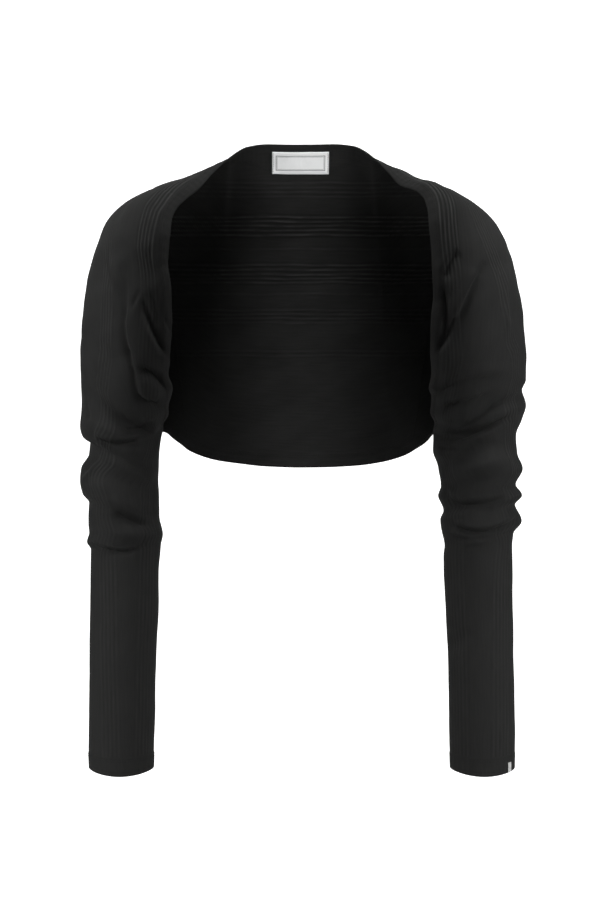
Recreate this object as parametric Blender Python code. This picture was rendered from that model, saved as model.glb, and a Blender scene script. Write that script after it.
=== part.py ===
"""Knitted shrug, filled out as it is worn and open in front.

Frame: metres, +Z up. The wearer faces -Y, so the wearer's right sleeve is at -X. The origin lies
between the shoulders, half way through the body, where the wearer holds the shrug up.

The whole cloth is one surface, read by two numbers:

station  runs from cuff to cuff: 0 at the centre back, 11 where a sleeve closes at the underarm
         and 18 at the end of a cuff. Stations on the wearer's right are negative.
across   runs along a station's line, which starts at the neck or front edge, goes over the
         shoulder and ends at the hem: 0 to 1. On a closed sleeve both ends meet on its inner side.

Every piece is a wall on a stretch of that surface. All sizes below are in millimetres.
"""

from typing import NamedTuple

import bpy
import numpy as np

MM = 0.001

# ---- cloth, seams and edges -----------------------------------------------------------------
WALL = 1.4
EDGE_WALL = 2.2
SEAM_GAP = 0.3
UNDERARM_GAP = 2.0
NECK_BAND = 30.0
SHOULDER_BAND = 13.0
HEM_BAND = 15.0
CUFF_HEM = 17.0

RIB_PITCH = 4.4
RIB_HEIGHT = 0.7
RIBS_IN_GROUP = 5

LABEL_WIDTH = 61.0
LABEL_DROP = 24.0
LABEL_TOP = 8.0
LABEL_THICK = 0.8
LABEL_FOLD = 2.6
LABEL_FOLD_THICK = 1.3
TAB_WIDTH = 4.5
TAB_LENGTH = 9.0
TAB_THICK = 1.2
TAB_ACROSS = 0.386
TAB_ABOVE_END = 1.0

# ---- stations -------------------------------------------------------------------------------
NECK_POINT = 3.0
BACK_SEAM = 6.0
UNDERARM = 11.0
LEVEL = 14.0
UNDERARM_BLEND = 12.6
HEM_BAND_END = 10.75
FOLDS_END = 14.3
CUFF_END = 18.0

# Heights of a sleeve's outer and inner line at the underarm, where its lines turn level, and at
# the end of the cuff.
TUBE_STATIONS = (UNDERARM, LEVEL, CUFF_END)
OUTER_HEIGHTS = (-205.0, -372.0, -608.5)
INNER_HEIGHTS = (-258.0, -372.0, -608.5)
CUFF_DIP = 6.0


class Place(NamedTuple):
    """A point of the surface on one station's line."""

    station: float
    x: float
    y: float
    z: float


class Side(NamedTuple):
    """The distance of a sleeve's side from the middle plane, at one height."""

    z: float
    x: float


class Lean(NamedTuple):
    """How a station's line leaves its ends and its top: reaches of its Bezier handles."""

    station: float
    top_back_y: float
    top_back_z: float
    hem_x: float
    hem_y: float
    hem_z: float
    top_front_y: float
    edge_x: float
    edge_y: float
    edge_z: float


class Depth(NamedTuple):
    """A closed sleeve's middle and its depth to the front and the back, at one station."""

    station: float
    outer_y: float
    inner_y: float
    front: float
    back: float


class Fold(NamedTuple):
    """A crease (height below 0) or ridge through three points, seen from the front or back."""

    x0: float
    z0: float
    x1: float
    z1: float
    x2: float
    z2: float
    width: float
    height: float


class Across(NamedTuple):
    """A place across one station's line."""

    station: float
    across: float


class Rows(NamedTuple):
    """How many rows divide a stretch of stations."""

    start: float
    end: float
    count: int


# ---- the front and neck edge, the outer line and the hem -----------------------------------
EDGE = (
    Place(-11, -146, 20, -258),
    Place(-10.8, -144, -8, -250),
    Place(-10.6, -138, -28, -239),
    Place(-10.45, -137, -39, -230),
    Place(-10.25, -133, -52, -214),
    Place(-10, -136, -62, -201),
    Place(-9.5, -133, -76, -170),
    Place(-9, -131, -85, -140),
    Place(-8.5, -132, -90, -115),
    Place(-8, -135, -92, -87),
    Place(-7.5, -134, -90, -64),
    Place(-7, -132, -83, -44),
    Place(-6.5, -127, -74, -31),
    Place(-6, -120, -63, -22),
    Place(-5, -105, -38, -7),
    Place(-4, -92, -8, 11),
    Place(-3, -76, 20, 29),
    Place(-2, -56, 40, 44.5),
    Place(-1, -33, 49, 48),
    Place(0, 0, 52, 48),
    Place(1, 33, 49, 48),
    Place(2, 57, 40, 45),
    Place(3, 77, 20, 30),
    Place(4, 91, -8, 13),
    Place(5, 104, -38, -4),
    Place(6, 121, -63, -13),
    Place(6.5, 128, -74, -23),
    Place(7, 131, -83, -37),
    Place(7.5, 132, -90, -60),
    Place(8, 134, -92, -90),
    Place(8.5, 135, -90, -116),
    Place(9, 134, -85, -145),
    Place(9.5, 133, -76, -170),
    Place(10, 135, -62, -201),
    Place(10.25, 133, -52, -215),
    Place(10.4, 136, -43, -223),
    Place(10.6, 136, -29, -237),
    Place(10.8, 141, -8, -250),
    Place(11, 141, 20, -258),
)
OUTER = (
    Place(-11, -229, 0, -205),
    Place(-10.5, -230, 2, -174),
    Place(-10, -229, 3, -144),
    Place(-9.5, -225, 4, -113),
    Place(-9, -219, 5, -83),
    Place(-8.5, -213, 5, -60),
    Place(-8, -205.5, 6, -43),
    Place(-7.5, -195, 6, -29.5),
    Place(-7, -183, 7, -19.5),
    Place(-6, -156, 9, -4),
    Place(-5, -125, 12, 6.5),
    Place(-4, -98, 16, 18),
    Place(-3, -76, 20, 29),
    Place(-2, -56, 40, 44.5),
    Place(-1, -33, 49, 48),
    Place(0, 0, 52, 48),
    Place(1, 33, 49, 48),
    Place(2, 57, 40, 45),
    Place(3, 77, 20, 30),
    Place(4, 98, 16, 20),
    Place(5, 125, 12, 7),
    Place(6, 156, 9, -6.5),
    Place(7, 183, 7, -21),
    Place(7.5, 195, 6, -30),
    Place(8, 206, 6, -43),
    Place(8.5, 214, 5, -57),
    Place(9, 221, 5, -79),
    Place(9.5, 228, 4, -108),
    Place(10, 233, 3, -140),
    Place(10.5, 236, 2, -172),
    Place(11, 236, 0, -205),
)
HEM = (
    Place(-11, -146, 20, -258),
    Place(-10, -141, 29, -260),
    Place(-9, -136, 38, -264),
    Place(-8, -131, 46, -268.5),
    Place(-7, -126, 53, -273),
    Place(-6, -120, 60, -278),
    Place(-5, -112, 67, -282),
    Place(-4, -103, 73, -285.5),
    Place(-3, -91, 79, -289),
    Place(-2, -64, 84, -293),
    Place(-1, -33, 87, -296),
    Place(0, 0, 88, -297),
    Place(1, 33, 87, -296.5),
    Place(2, 65, 84, -294.5),
    Place(3, 92, 79, -290),
    Place(4, 103, 73, -287),
    Place(5, 112, 67, -283.5),
    Place(6, 120, 60, -279.5),
    Place(7, 126, 53, -275.5),
    Place(8, 131, 46, -271.5),
    Place(9, 135, 38, -267),
    Place(10, 138, 29, -262),
    Place(11, 141, 20, -258),
)

# ---- the sleeves' sides, from the underarm to the cuff ---------------------------------------
OUTER_SIDE_RIGHT = (
    Side(-205, -229), Side(-231, -228), Side(-252, -231), Side(-264, -228), Side(-270, -220),
    Side(-282, -221), Side(-297, -229), Side(-310, -230), Side(-323, -227), Side(-333, -220),
    Side(-355, -221), Side(-364, -220), Side(-374, -223), Side(-382, -218.5), Side(-400, -219),
    Side(-440, -219), Side(-490, -219.5), Side(-590, -219.5), Side(-610, -219),
)
INNER_SIDE_RIGHT = (
    Side(-258, -146), Side(-280, -149), Side(-316, -150), Side(-345, -149), Side(-366, -145),
    Side(-378, -147), Side(-406, -148.5), Side(-448, -149), Side(-490, -151), Side(-541, -152),
    Side(-610, -153.5),
)
OUTER_SIDE_LEFT = (
    Side(-205, 236), Side(-215, 232), Side(-231, 235), Side(-245, 231), Side(-261, 226),
    Side(-282, 227), Side(-298, 232), Side(-314, 225), Side(-325, 232), Side(-335, 224),
    Side(-352, 230), Side(-365, 222), Side(-388, 221.5), Side(-423, 221), Side(-490, 221.5),
    Side(-556, 222.5), Side(-610, 222),
)
INNER_SIDE_LEFT = (
    Side(-258, 141), Side(-278, 140), Side(-297, 146), Side(-316, 148), Side(-326, 145),
    Side(-342, 151), Side(-351, 148), Side(-378, 151), Side(-388, 150), Side(-418, 151),
    Side(-457, 153), Side(-490, 154.5), Side(-573, 155.5), Side(-610, 156.5),
)

# ---- how each station's line bends, alike on both sides of the body --------------------------
LEANS = (
    Lean(0, 14, -62, 0, 15, 110, 0, 0, 0, 0),
    Lean(1, 18, -60, -1, 15, 110, 0, 0, 0, 0),
    Lean(2, 34, -44, -3, 16, 108, 0, 0, 0, 0),
    Lean(3, 62, 0, -5, 18, 104, 0, 0, 0, 0),
    Lean(4, 78, 0, -7, 20, 99, 9, -3, 2, 7),
    Lean(5, 88, 0, -9, 23, 92, 26, -9, -6, 12),
    Lean(6, 92, 0, -11, 27, 82, 42, -18, -13, 14),
    Lean(7, 92, 0, -13, 33, 66, 53, -24, -17, 17),
    Lean(8, 88, 0, -16, 40, 50, 62, -30, -21, 16),
    Lean(9, 82, 0, -20, 45, 36, 70, -28, -30, 11),
    Lean(10, 77, 0, -24, 49, 24, 74, -19, -48, 0),
    Lean(11, 74, 0, -26, 52, 12, 76, -4, -97, -22),
)
DEPTHS = (
    Depth(11, 0, 20, 57, 56),
    Depth(11.5, -1, 15, 58, 54),
    Depth(11.9, -1, 10, 52, 56),
    Depth(12.3, -2, 5, 56, 52),
    Depth(12.7, -3, 0, 49, 54),
    Depth(13.1, -5, -5, 50, 47),
    Depth(13.5, -7, -8, 44, 47),
    Depth(13.8, -9, -10, 44, 42),
    Depth(14.1, -10, -11, 39, 41),
    Depth(14.5, -12, -13, 37, 37),
    Depth(16.5, -23, -23, 35, 35),
    Depth(18, -31, -31, 34, 34),
)
BEZIER_BULGE = 4.0 / 3.0

# ---- folds ------------------------------------------------------------------------------------
FRONT_FOLDS_RIGHT = (
    Fold(-182, -90, -183, -150, -173, -193, 8, -4.5),
    Fold(-203, -60, -199, -144, -196, -215, 10, -2.0),
    Fold(-159, -124, -150, -156, -138, -180, 8, -3.5),
    Fold(-168, -198, -151, -200, -138, -215, 7.5, -4.5),
    Fold(-168, -211, -154, -215, -143, -223, 7, 3.0),
    Fold(-174, -226, -158, -230, -139, -231, 7, -4.0),
    Fold(-184, -254, -167, -256, -147, -249, 7, -3.0),
    Fold(-214, -254, -190, -258, -168, -256, 9, 4.0),
    Fold(-214, -267, -187, -273, -160, -265, 7, -5.0),
    Fold(-215, -318, -195, -312, -170, -316, 12, 3.5),
    Fold(-193, -341, -177, -350, -154, -354, 8, -4.0),
    Fold(-217, -377, -195, -382, -166, -380, 6, -2.5),
)
BACK_FOLDS_RIGHT = (
    Fold(-205, -88, -190, -128, -172, -172, 10, -3.5),
    Fold(-222, -196, -195, -212, -160, -214, 8, -4.5),
    Fold(-222, -232, -190, -240, -156, -236, 9, 3.5),
    Fold(-218, -262, -186, -272, -156, -262, 8, -4.5),
    Fold(-218, -306, -190, -314, -158, -306, 10, 3.0),
    Fold(-214, -336, -186, -344, -158, -340, 8, -4.0),
    Fold(-212, -372, -188, -378, -158, -374, 7, -2.5),
)
FRONT_FOLDS_LEFT = (
    Fold(161, -74, 152, -88, 148, -105, 8, -2.5),
    Fold(145, -113, 148, -142, 141, -177, 8, -4.0),
    Fold(183, -99, 168, -132, 143, -175, 8, -3.5),
    Fold(178, -92, 164, -116, 153, -142, 8, 2.5),
    Fold(216, -84, 211, -120, 214, -156, 8, 2.5),
    Fold(138, -217, 160, -211, 210, -206, 7, -4.5),
    Fold(146, -234, 170, -232, 216, -219, 7, -4.5),
    Fold(156, -248, 186, -244, 222, -230, 8, 3.5),
    Fold(150, -265, 179, -260, 224, -242, 7, -5.5),
    Fold(154, -292, 186, -294, 222, -288, 12, 4.0),
    Fold(155, -328, 176, -335, 216, -327, 8, -4.0),
    Fold(160, -360, 188, -363, 222, -352, 7, -3.5),
    Fold(178, -464, 165, -476, 154, -486, 8, -2.0),
)
BACK_FOLDS_LEFT = (
    Fold(212, -96, 196, -130, 166, -166, 10, -3.5),
    Fold(228, -202, 196, -206, 158, -222, 8, -4.5),
    Fold(228, -226, 192, -232, 156, -246, 9, 3.5),
    Fold(224, -252, 188, -262, 152, -270, 8, -5.0),
    Fold(222, -300, 190, -306, 156, -312, 11, 3.5),
    Fold(218, -332, 190, -340, 160, -338, 8, -4.0),
    Fold(214, -362, 192, -370, 162, -372, 7, -3.0),
)
FOLD_END_FADE = 0.22

# ---- raised rib lines -------------------------------------------------------------------------
# Heights of the middles of the groups on the back, and the way down a sleeve of its one group.
BACK_RIB_HEIGHTS = (-38.0, -89.0, -134.0)
SLEEVE_RIBS = (Across(BACK_SEAM, 0.070), Across(7.5, 0.070), Across(UNDERARM + 1.0, 0.130))

# ---- how finely the surface is worked out and the pieces are divided --------------------------
LATTICE_STEP = 0.02
LATTICE_ACROSS = 241
COARSE_REACH = 14
FINE_REACH = 6
BEZIER_STEPS = 72
SLEEVE_COLUMNS = 20
COLUMNS_ABOVE_RIBS = 7
COLUMNS_BETWEEN_RIBS = 3
COLUMNS_BELOW_RIBS = 6
LABEL_ROWS = 3
NECK_COLUMNS = 3
BAND_COLUMNS = 1
CUFF_COLUMNS = 24
ROWS_TO_LEVEL = 23
ROWS_TO_CUFF = 8
CUFF_ROWS = 2
OPEN_ROWS = (
    Rows(0.0, NECK_POINT, 6),
    Rows(NECK_POINT, 4.0, 4),
    Rows(4.0, BACK_SEAM, 4),
    Rows(BACK_SEAM, 10.0, 12),
    Rows(10.0, UNDERARM, 4),
)

CLOTH = (0.016, 0.016, 0.017, 1.0)
EDGE_CLOTH = (0.013, 0.013, 0.014, 1.0)
LABEL_CLOTH = (0.78, 0.78, 0.76, 1.0)
TAB_CLOTH = (0.45, 0.45, 0.45, 1.0)
KNIT_ROUGHNESS = 0.85
LABEL_ROUGHNESS = 0.6


def smooth_rows(keys, values, at, still_ends=False):
    """Read a table's columns between its rows, on smooth curves that never overshoot a row.

    With still_ends the curves come to rest at the first and the last row.
    """
    keys = np.asarray(keys, float)
    values = np.asarray(values, float).reshape(len(keys), -1)
    step = np.diff(keys)[:, None]
    slope = np.diff(values, axis=0) / step
    before, after = slope[:-1], slope[1:]
    weight_before = 2.0 * step[1:] + step[:-1]
    weight_after = step[1:] + 2.0 * step[:-1]
    same_way = before * after > 0.0
    safe_before = np.where(same_way, before, 1.0)
    safe_after = np.where(same_way, after, 1.0)
    mean = (weight_before + weight_after) / (weight_before / safe_before + weight_after / safe_after)
    end_share = 0.0 if still_ends else 1.0
    inside = np.where(same_way, mean, 0.0)
    tangent = np.vstack([end_share * slope[:1], inside, end_share * slope[-1:]])
    at = np.clip(np.asarray(at, float), keys[0], keys[-1])
    row = np.clip(np.searchsorted(keys, at, side="right") - 1, 0, len(keys) - 2)
    span = step[row]
    u = (at - keys[row])[:, None] / span
    return (
        (2 * u**3 - 3 * u**2 + 1) * values[row]
        + (u**3 - 2 * u**2 + u) * span * tangent[row]
        + (3 * u**2 - 2 * u**3) * values[row + 1]
        + (u**3 - u**2) * span * tangent[row + 1]
    )


def read_table(table, at, still_ends=False):
    """Read a table of named rows, keyed by its first column, at the given keys."""
    rows = sorted(table)
    return smooth_rows([row[0] for row in rows], [row[1:] for row in rows], at, still_ends)


def fade(value, low, high):
    """Rise smoothly from 0 at low to 1 at high."""
    u = np.clip((value - low) / (high - low), 0.0, 1.0)
    return u * u * (3.0 - 2.0 * u)


def bezier(start, start_handle, end_handle, end, steps):
    """Points along cubic curves, one curve for each row of the four arrays."""
    u = np.linspace(0.0, 1.0, steps + 1)[None, :, None]
    return (
        (1 - u) ** 3 * start[:, None]
        + 3 * (1 - u) ** 2 * u * start_handle[:, None]
        + 3 * (1 - u) * u**2 * end_handle[:, None]
        + u**3 * end[:, None]
    )


def sleeve_places(stations, heights, side_table, middle):
    """Points down the outer or inner line of a closed sleeve."""
    z = np.interp(np.abs(stations), TUBE_STATIONS, heights)
    x = read_table(side_table, z)[:, 0]
    return np.stack([x, middle, z], axis=1)


def station_frame(stations):
    """The edge, top and hem points of each station's line, and its Bezier handles."""
    size = np.abs(stations)
    edge = read_table(EDGE, stations, still_ends=True)
    top = np.where(size[:, None] > NECK_POINT, read_table(OUTER, stations), edge)
    hem = read_table(HEM, stations)
    lean = read_table(LEANS, size)
    sign = np.where(stations < 0.0, 1.0, -1.0)
    zero = np.zeros_like(stations)
    top_back = np.stack([zero, lean[:, 0], lean[:, 1]], axis=1)
    hem_back = np.stack([sign * lean[:, 2], lean[:, 3], lean[:, 4]], axis=1)
    top_front = np.stack([zero, -lean[:, 5], zero], axis=1)
    edge_front = np.stack([sign * lean[:, 6], lean[:, 7], lean[:, 8]], axis=1)
    depth = read_table(DEPTHS, size)
    start = DEPTHS[0]
    underarm_front = np.array([0.0, start.outer_y - start.inner_y - BEZIER_BULGE * start.front, 0.0])
    underarm_back = np.array([0.0, start.outer_y - start.inner_y + BEZIER_BULGE * start.back, 0.0])
    sides = ((-1, OUTER_SIDE_RIGHT, INNER_SIDE_RIGHT), (1, OUTER_SIDE_LEFT, INNER_SIDE_LEFT))
    for side, outer_table, inner_table in sides:
        tube = stations * side > UNDERARM
        if not tube.any():
            continue
        outer = sleeve_places(stations[tube], OUTER_HEIGHTS, outer_table, depth[tube, 0])
        inner = sleeve_places(stations[tube], INNER_HEIGHTS, inner_table, depth[tube, 1])
        front = np.stack([zero[tube], -BEZIER_BULGE * depth[tube, 2], zero[tube]], axis=1)
        back = np.stack([zero[tube], BEZIER_BULGE * depth[tube, 3], zero[tube]], axis=1)
        top[tube] = outer
        edge[tube] = inner
        hem[tube] = inner
        shift = np.stack([zero[tube], depth[tube, 0] - depth[tube, 1], zero[tube]], axis=1)
        kept = fade(UNDERARM_BLEND - size[tube], 0.0, UNDERARM_BLEND - UNDERARM)[:, None]
        top_front[tube] = front
        edge_front[tube] = front + shift + kept * (edge_front[tube] - underarm_front)
        top_back[tube] = back
        hem_back[tube] = back + shift + kept * (hem_back[tube] - underarm_back)
    return edge, top, hem, edge_front, top_front, top_back, hem_back


def along(points, count):
    """Points at even distances along each row of points, with the rows' lengths."""
    shares = np.linspace(0.0, 1.0, count)
    gaps = np.linalg.norm(np.diff(points, axis=1), axis=2)
    run = np.concatenate([np.zeros((len(points), 1)), np.cumsum(gaps, axis=1)], axis=1)
    even = np.empty((len(points), count, 3))
    for row in range(len(points)):
        for axis in range(3):
            even[row, :, axis] = np.interp(shares * run[row, -1], run[row], points[row, :, axis])
    return even, run[:, -1]


def fold_heights(points, folds):
    """How far a table of folds lifts or sinks points, seen along Y."""
    lift = np.zeros(points.shape[:-1])
    for fold in folds:
        knots = np.array([[fold.x0, fold.z0], [fold.x1, fold.z1], [fold.x2, fold.z2]], float)
        u = np.linspace(0.0, 1.0, 13)[:, None]
        line = (1 - u) * (1 - 2 * u) * knots[0] + 4 * u * (1 - u) * knots[1] + u * (2 * u - 1) * knots[2]
        near = np.full(lift.shape, np.inf)
        place = np.zeros(lift.shape)
        for index in range(len(line) - 1):
            run = line[index + 1] - line[index]
            dx = points[..., 0] - line[index][0]
            dz = points[..., 2] - line[index][1]
            share = np.clip((dx * run[0] + dz * run[1]) / (run @ run), 0.0, 1.0)
            distance = np.hypot(dx - share * run[0], dz - share * run[1])
            closer = distance < near
            near = np.where(closer, distance, near)
            place = np.where(closer, (index + share) / (len(line) - 1), place)
        ends = fade(place, -0.05, FOLD_END_FADE) * fade(1.0 - place, -0.05, FOLD_END_FADE)
        lift += fold.height * np.exp(-((near / fold.width) ** 2)) * ends
    return lift


def outward(points, closed, reach):
    """Unit normals of a lattice of points, facing out of the cloth's hollow side.

    reach is how many rows off on either side the run along the stations is taken from.
    """
    padded = np.pad(points, ((reach, reach), (0, 0), (0, 0)), mode="edge")
    along_station = padded[2 * reach :] - padded[: -2 * reach]
    along_across = np.gradient(points, axis=1)
    normal = np.cross(along_station, along_across)
    seam = normal[closed, 0] + normal[closed, -1]
    normal[closed, 0] = seam
    normal[closed, -1] = seam
    return normal / np.maximum(np.linalg.norm(normal, axis=2, keepdims=True), 1e-9)


class Cloth:
    """The cloth's middle surface, worked out once on a fine lattice and read between its points."""

    def __init__(self):
        count = int(round(2 * CUFF_END / LATTICE_STEP)) + 1
        self.stations = np.linspace(-CUFF_END, CUFF_END, count)
        edge, top, hem, edge_front, top_front, top_back, hem_back = station_frame(self.stations)
        front = bezier(edge, edge + edge_front, top + top_front, top, BEZIER_STEPS)
        back = bezier(top, top + top_back, hem + hem_back, hem, 2 * BEZIER_STEPS)
        points, self.lengths = along(np.concatenate([front, back[:, 1:]], axis=1), LATTICE_ACROSS)
        closed = np.abs(self.stations) > UNDERARM
        normals = outward(points, closed, COARSE_REACH)
        points = points + normals * self.folds(points, normals)[..., None]
        points[..., 2] += self.cuff_dip(points)
        self.points = points
        self.normals = outward(points, closed, FINE_REACH)

    def folds(self, points, normals):
        """The folds' heights over the whole lattice, front and back, right and left."""
        facing = -normals[..., 1]
        front = fade(facing, 0.0, 0.7)
        back = fade(-facing, 0.0, 0.7)
        right = (self.stations < 0.0)[:, None]
        front_lift = np.where(
            right, fold_heights(points, FRONT_FOLDS_RIGHT), fold_heights(points, FRONT_FOLDS_LEFT)
        )
        back_lift = np.where(
            right, fold_heights(points, BACK_FOLDS_RIGHT), fold_heights(points, BACK_FOLDS_LEFT)
        )
        return front * front_lift + back * back_lift

    def cuff_dip(self, points):
        """The cuff's end hangs a little lower at its front and back than at its sides."""
        shares = np.linspace(0.0, 1.0, points.shape[1])
        wave = -0.5 * CUFF_DIP * (1.0 - np.cos(4.0 * np.pi * shares))
        return fade(np.abs(self.stations), CUFF_END - 0.6, CUFF_END)[:, None] * wave

    def read(self, table, station, across):
        """Values of a lattice between its points."""
        row = (station + CUFF_END) / LATTICE_STEP
        column = across * (LATTICE_ACROSS - 1)
        i = np.clip(np.floor(row).astype(int), 0, table.shape[0] - 2)
        j = np.clip(np.floor(column).astype(int), 0, table.shape[1] - 2)
        u = np.clip(row - i, 0.0, 1.0)[..., None]
        v = np.clip(column - j, 0.0, 1.0)[..., None]
        near = table[i, j] * (1 - u) + table[i + 1, j] * u
        far = table[i, j + 1] * (1 - u) + table[i + 1, j + 1] * u
        return near * (1 - v) + far * v

    def length(self, station):
        """The length of each station's line."""
        return np.interp(station, self.stations, self.lengths)

    def at_height(self, station, height):
        """The places across the stations' lines where the back comes down to a height."""
        shares = np.linspace(0.0, 1.0, LATTICE_ACROSS)
        lines = self.at(np.repeat(station[:, None], len(shares), axis=1), shares[None, :])[0]
        found = []
        for z in lines[..., 2]:
            top = int(np.argmax(z))
            found.append(np.interp(-height, -z[top:], shares[top:]))
        return np.array(found)

    def at(self, station, across):
        """Points and outward normals at the given places."""
        normal = self.read(self.normals, station, across)
        normal /= np.linalg.norm(normal, axis=-1, keepdims=True)
        return self.read(self.points, station, across), normal


def trim(grid, at_start, at_end):
    """Shorten a grid of points by these lengths at its first and its last row."""
    grid = grid.copy()
    for row, beside, gap in ((0, 1, at_start), (-1, -2, at_end)):
        run = grid[beside] - grid[row]
        grid[row] += gap * run / np.linalg.norm(run, axis=-1, keepdims=True)
    return grid


class Wall:
    """A wall of cloth on a grid of places, written as a closed mesh."""

    def __init__(self):
        self.vertices = []
        self.faces = []
        self.index = {}

    def vertex(self, key, point):
        """The number of a named vertex, made when it is first asked for."""
        if key not in self.index:
            self.index[key] = len(self.vertices)
            self.vertices.append(tuple(float(value) * MM for value in point))
        return self.index[key]

    def pair(self, a, b, c, d):
        """Two triangles for a four-sided face, cut from its first corner to its third."""
        self.faces.append((a, b, c))
        self.faces.append((a, c, d))

    def fill(self, outer, inner, inner_columns, cells, welded_rows):
        """Close the space between two grids.

        inner_columns are the outer grid's columns that the inner grid has too, cells says which
        stretches between them exist in each row, and on welded rows the last column is the first.
        """
        last = outer.shape[1] - 1

        def out(i, c):
            c = 0 if c == last and welded_rows[i] else c
            return self.vertex(("out", i, c), outer[i, c])

        def into(i, j):
            c = inner_columns[j]
            c = 0 if c == last and welded_rows[i] else c
            return self.vertex(("in", i, c), inner[i, j])

        rows, stretches = cells.shape
        wraps = welded_rows[:-1] & welded_rows[1:]
        for i in range(rows):
            for j in range(stretches):
                if not cells[i, j]:
                    continue
                span = range(inner_columns[j], inner_columns[j + 1] + 1)
                for c in span[:-1]:
                    self.pair(out(i, c), out(i + 1, c), out(i + 1, c + 1), out(i, c + 1))
                self.pair(into(i, j), into(i, j + 1), into(i + 1, j + 1), into(i + 1, j))
                left = cells[i, j - 1] if j > 0 else (wraps[i] and cells[i, -1])
                right = cells[i, j + 1] if j < stretches - 1 else (wraps[i] and cells[i, 0])
                if not left:
                    c = inner_columns[j]
                    self.pair(out(i + 1, c), out(i, c), into(i, j), into(i + 1, j))
                if not right:
                    c = inner_columns[j + 1]
                    self.pair(out(i + 1, c), into(i + 1, j + 1), into(i, j + 1), out(i, c))
                if i == 0 or not cells[i - 1, j]:
                    rim = [out(i, c) for c in span]
                    self.faces.append(tuple(rim + [into(i, j + 1), into(i, j)]))
                if i == rows - 1 or not cells[i + 1, j]:
                    rim = [out(i + 1, c) for c in reversed(span)]
                    self.faces.append(tuple(rim + [into(i + 1, j), into(i + 1, j + 1)]))

    def build(self, name, colour, roughness):
        """Make the object, with its own material."""
        mesh = bpy.data.meshes.new(name)
        mesh.from_pydata(self.vertices, [], self.faces)
        mesh.validate()
        mesh.shade_smooth()
        mesh.set_sharp_from_angle(angle=np.radians(50.0))
        material = bpy.data.materials.new(name)
        material.use_nodes = True
        shader = material.node_tree.nodes["Principled BSDF"]
        shader.inputs["Base Color"].default_value = colour
        shader.inputs["Roughness"].default_value = roughness
        shader.inputs["Metallic"].default_value = 0.0
        mesh.materials.append(material)
        piece = bpy.data.objects.new(name, mesh)
        bpy.context.collection.objects.link(piece)
        return piece


def plain_wall(points, normals, thick, lift=0.0, ends=(0.0, 0.0), welded=False):
    """A wall whose outer and inner sides have the same columns and no rib lines."""
    outer = trim(points + normals * (lift + 0.5 * thick), *ends)
    inner = trim(points + normals * (lift - 0.5 * thick), *ends)
    rows, columns = points.shape[:2]
    shape = Wall()
    cells = np.ones((rows - 1, columns - 1), bool)
    shape.fill(outer, inner, list(range(columns)), cells, np.full(rows, welded))
    return shape


def band_depth(station):
    """The depth of the neck and front bands: deepest at the middle of the neck."""
    deep = fade(NECK_POINT - np.abs(station), 0.0, NECK_POINT - 0.8)
    return SHOULDER_BAND + (NECK_BAND - SHOULDER_BAND) * deep


def rib_columns(cloth, middle, station):
    """Places of a rib group's troughs and crests, alternately, around its middle at each station."""
    half = 0.5 * RIB_PITCH / cloth.length(station)
    steps = np.arange(-RIBS_IN_GROUP, RIBS_IN_GROUP + 1)
    return middle[:, None] + half[:, None] * steps[None, :]


def spread(start, end, count):
    """Places at even shares between two columns, both left out."""
    shares = np.arange(1, count)[None, :] / count
    return start[:, None] * (1 - shares) + end[:, None] * shares


def ribbed_wall(cloth, name, station, blocks, rib_blocks, cells_for, welded):
    """A piece with rib lines raised on its outer side.

    blocks are arrays of places, one column each or several, and rib_blocks says which of them
    are rib groups. The inner side has only the first and last column of each group.
    """
    across = np.concatenate(blocks, axis=1)
    crest = np.zeros(across.shape[1])
    inner_columns = []
    column = 0
    for block, ribbed in zip(blocks, rib_blocks):
        width = block.shape[1]
        if ribbed:
            inner_columns += [column, column + width // 2, column + width - 1]
            crest[column + 1 : column + width : 2] = RIB_HEIGHT
        else:
            inner_columns += list(range(column, column + width))
        column += width
    points, normals = cloth.at(np.broadcast_to(station[:, None], across.shape), across)
    half_gap = 0.5 * SEAM_GAP
    outer = trim(points + normals * (0.5 * WALL + crest)[None, :, None], half_gap, half_gap)
    inner = trim((points - normals * 0.5 * WALL)[:, inner_columns], half_gap, half_gap)
    shape = Wall()
    cells = cells_for(len(inner_columns) - 1)
    shape.fill(outer, inner, inner_columns, cells, welded)
    return shape.build(name, CLOTH, KNIT_ROUGHNESS)


def open_stations(start, end):
    """The stations of the rows on both sides of a seam along the open edge, between two of them."""
    parts = [np.linspace(rows.start, rows.end, rows.count + 1)[1:] for rows in OPEN_ROWS]
    half = np.concatenate([[0.0], *parts])
    whole = np.concatenate([-half[:0:-1], half])
    inside = (whole > start - 1e-6) & (whole < end + 1e-6)
    return whole[inside]


def build_back(cloth):
    """The back panel, between the neck band, the hem band and the two back seams."""
    station = open_stations(-BACK_SEAM, BACK_SEAM)
    length = cloth.length(station)
    first = (band_depth(station) + 0.5 * SEAM_GAP) / length
    last = 1.0 - (HEM_BAND + 0.5 * SEAM_GAP) / length
    blocks = [first[:, None]]
    rib_blocks = [False]
    reached = first
    columns = COLUMNS_ABOVE_RIBS
    for height in BACK_RIB_HEIGHTS:
        group = rib_columns(cloth, cloth.at_height(station, height), station)
        blocks += [spread(reached, group[:, 0], columns), group]
        rib_blocks += [False, True]
        reached = group[:, -1]
        columns = COLUMNS_BETWEEN_RIBS
    blocks += [spread(reached, last, COLUMNS_BELOW_RIBS), last[:, None]]
    rib_blocks += [False, False]

    def every_cell(stretches):
        return np.ones((len(station) - 1, stretches), bool)

    open_rows = np.zeros(len(station), bool)
    return ribbed_wall(cloth, "back_panel", station, blocks, rib_blocks, every_cell, open_rows)


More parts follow.
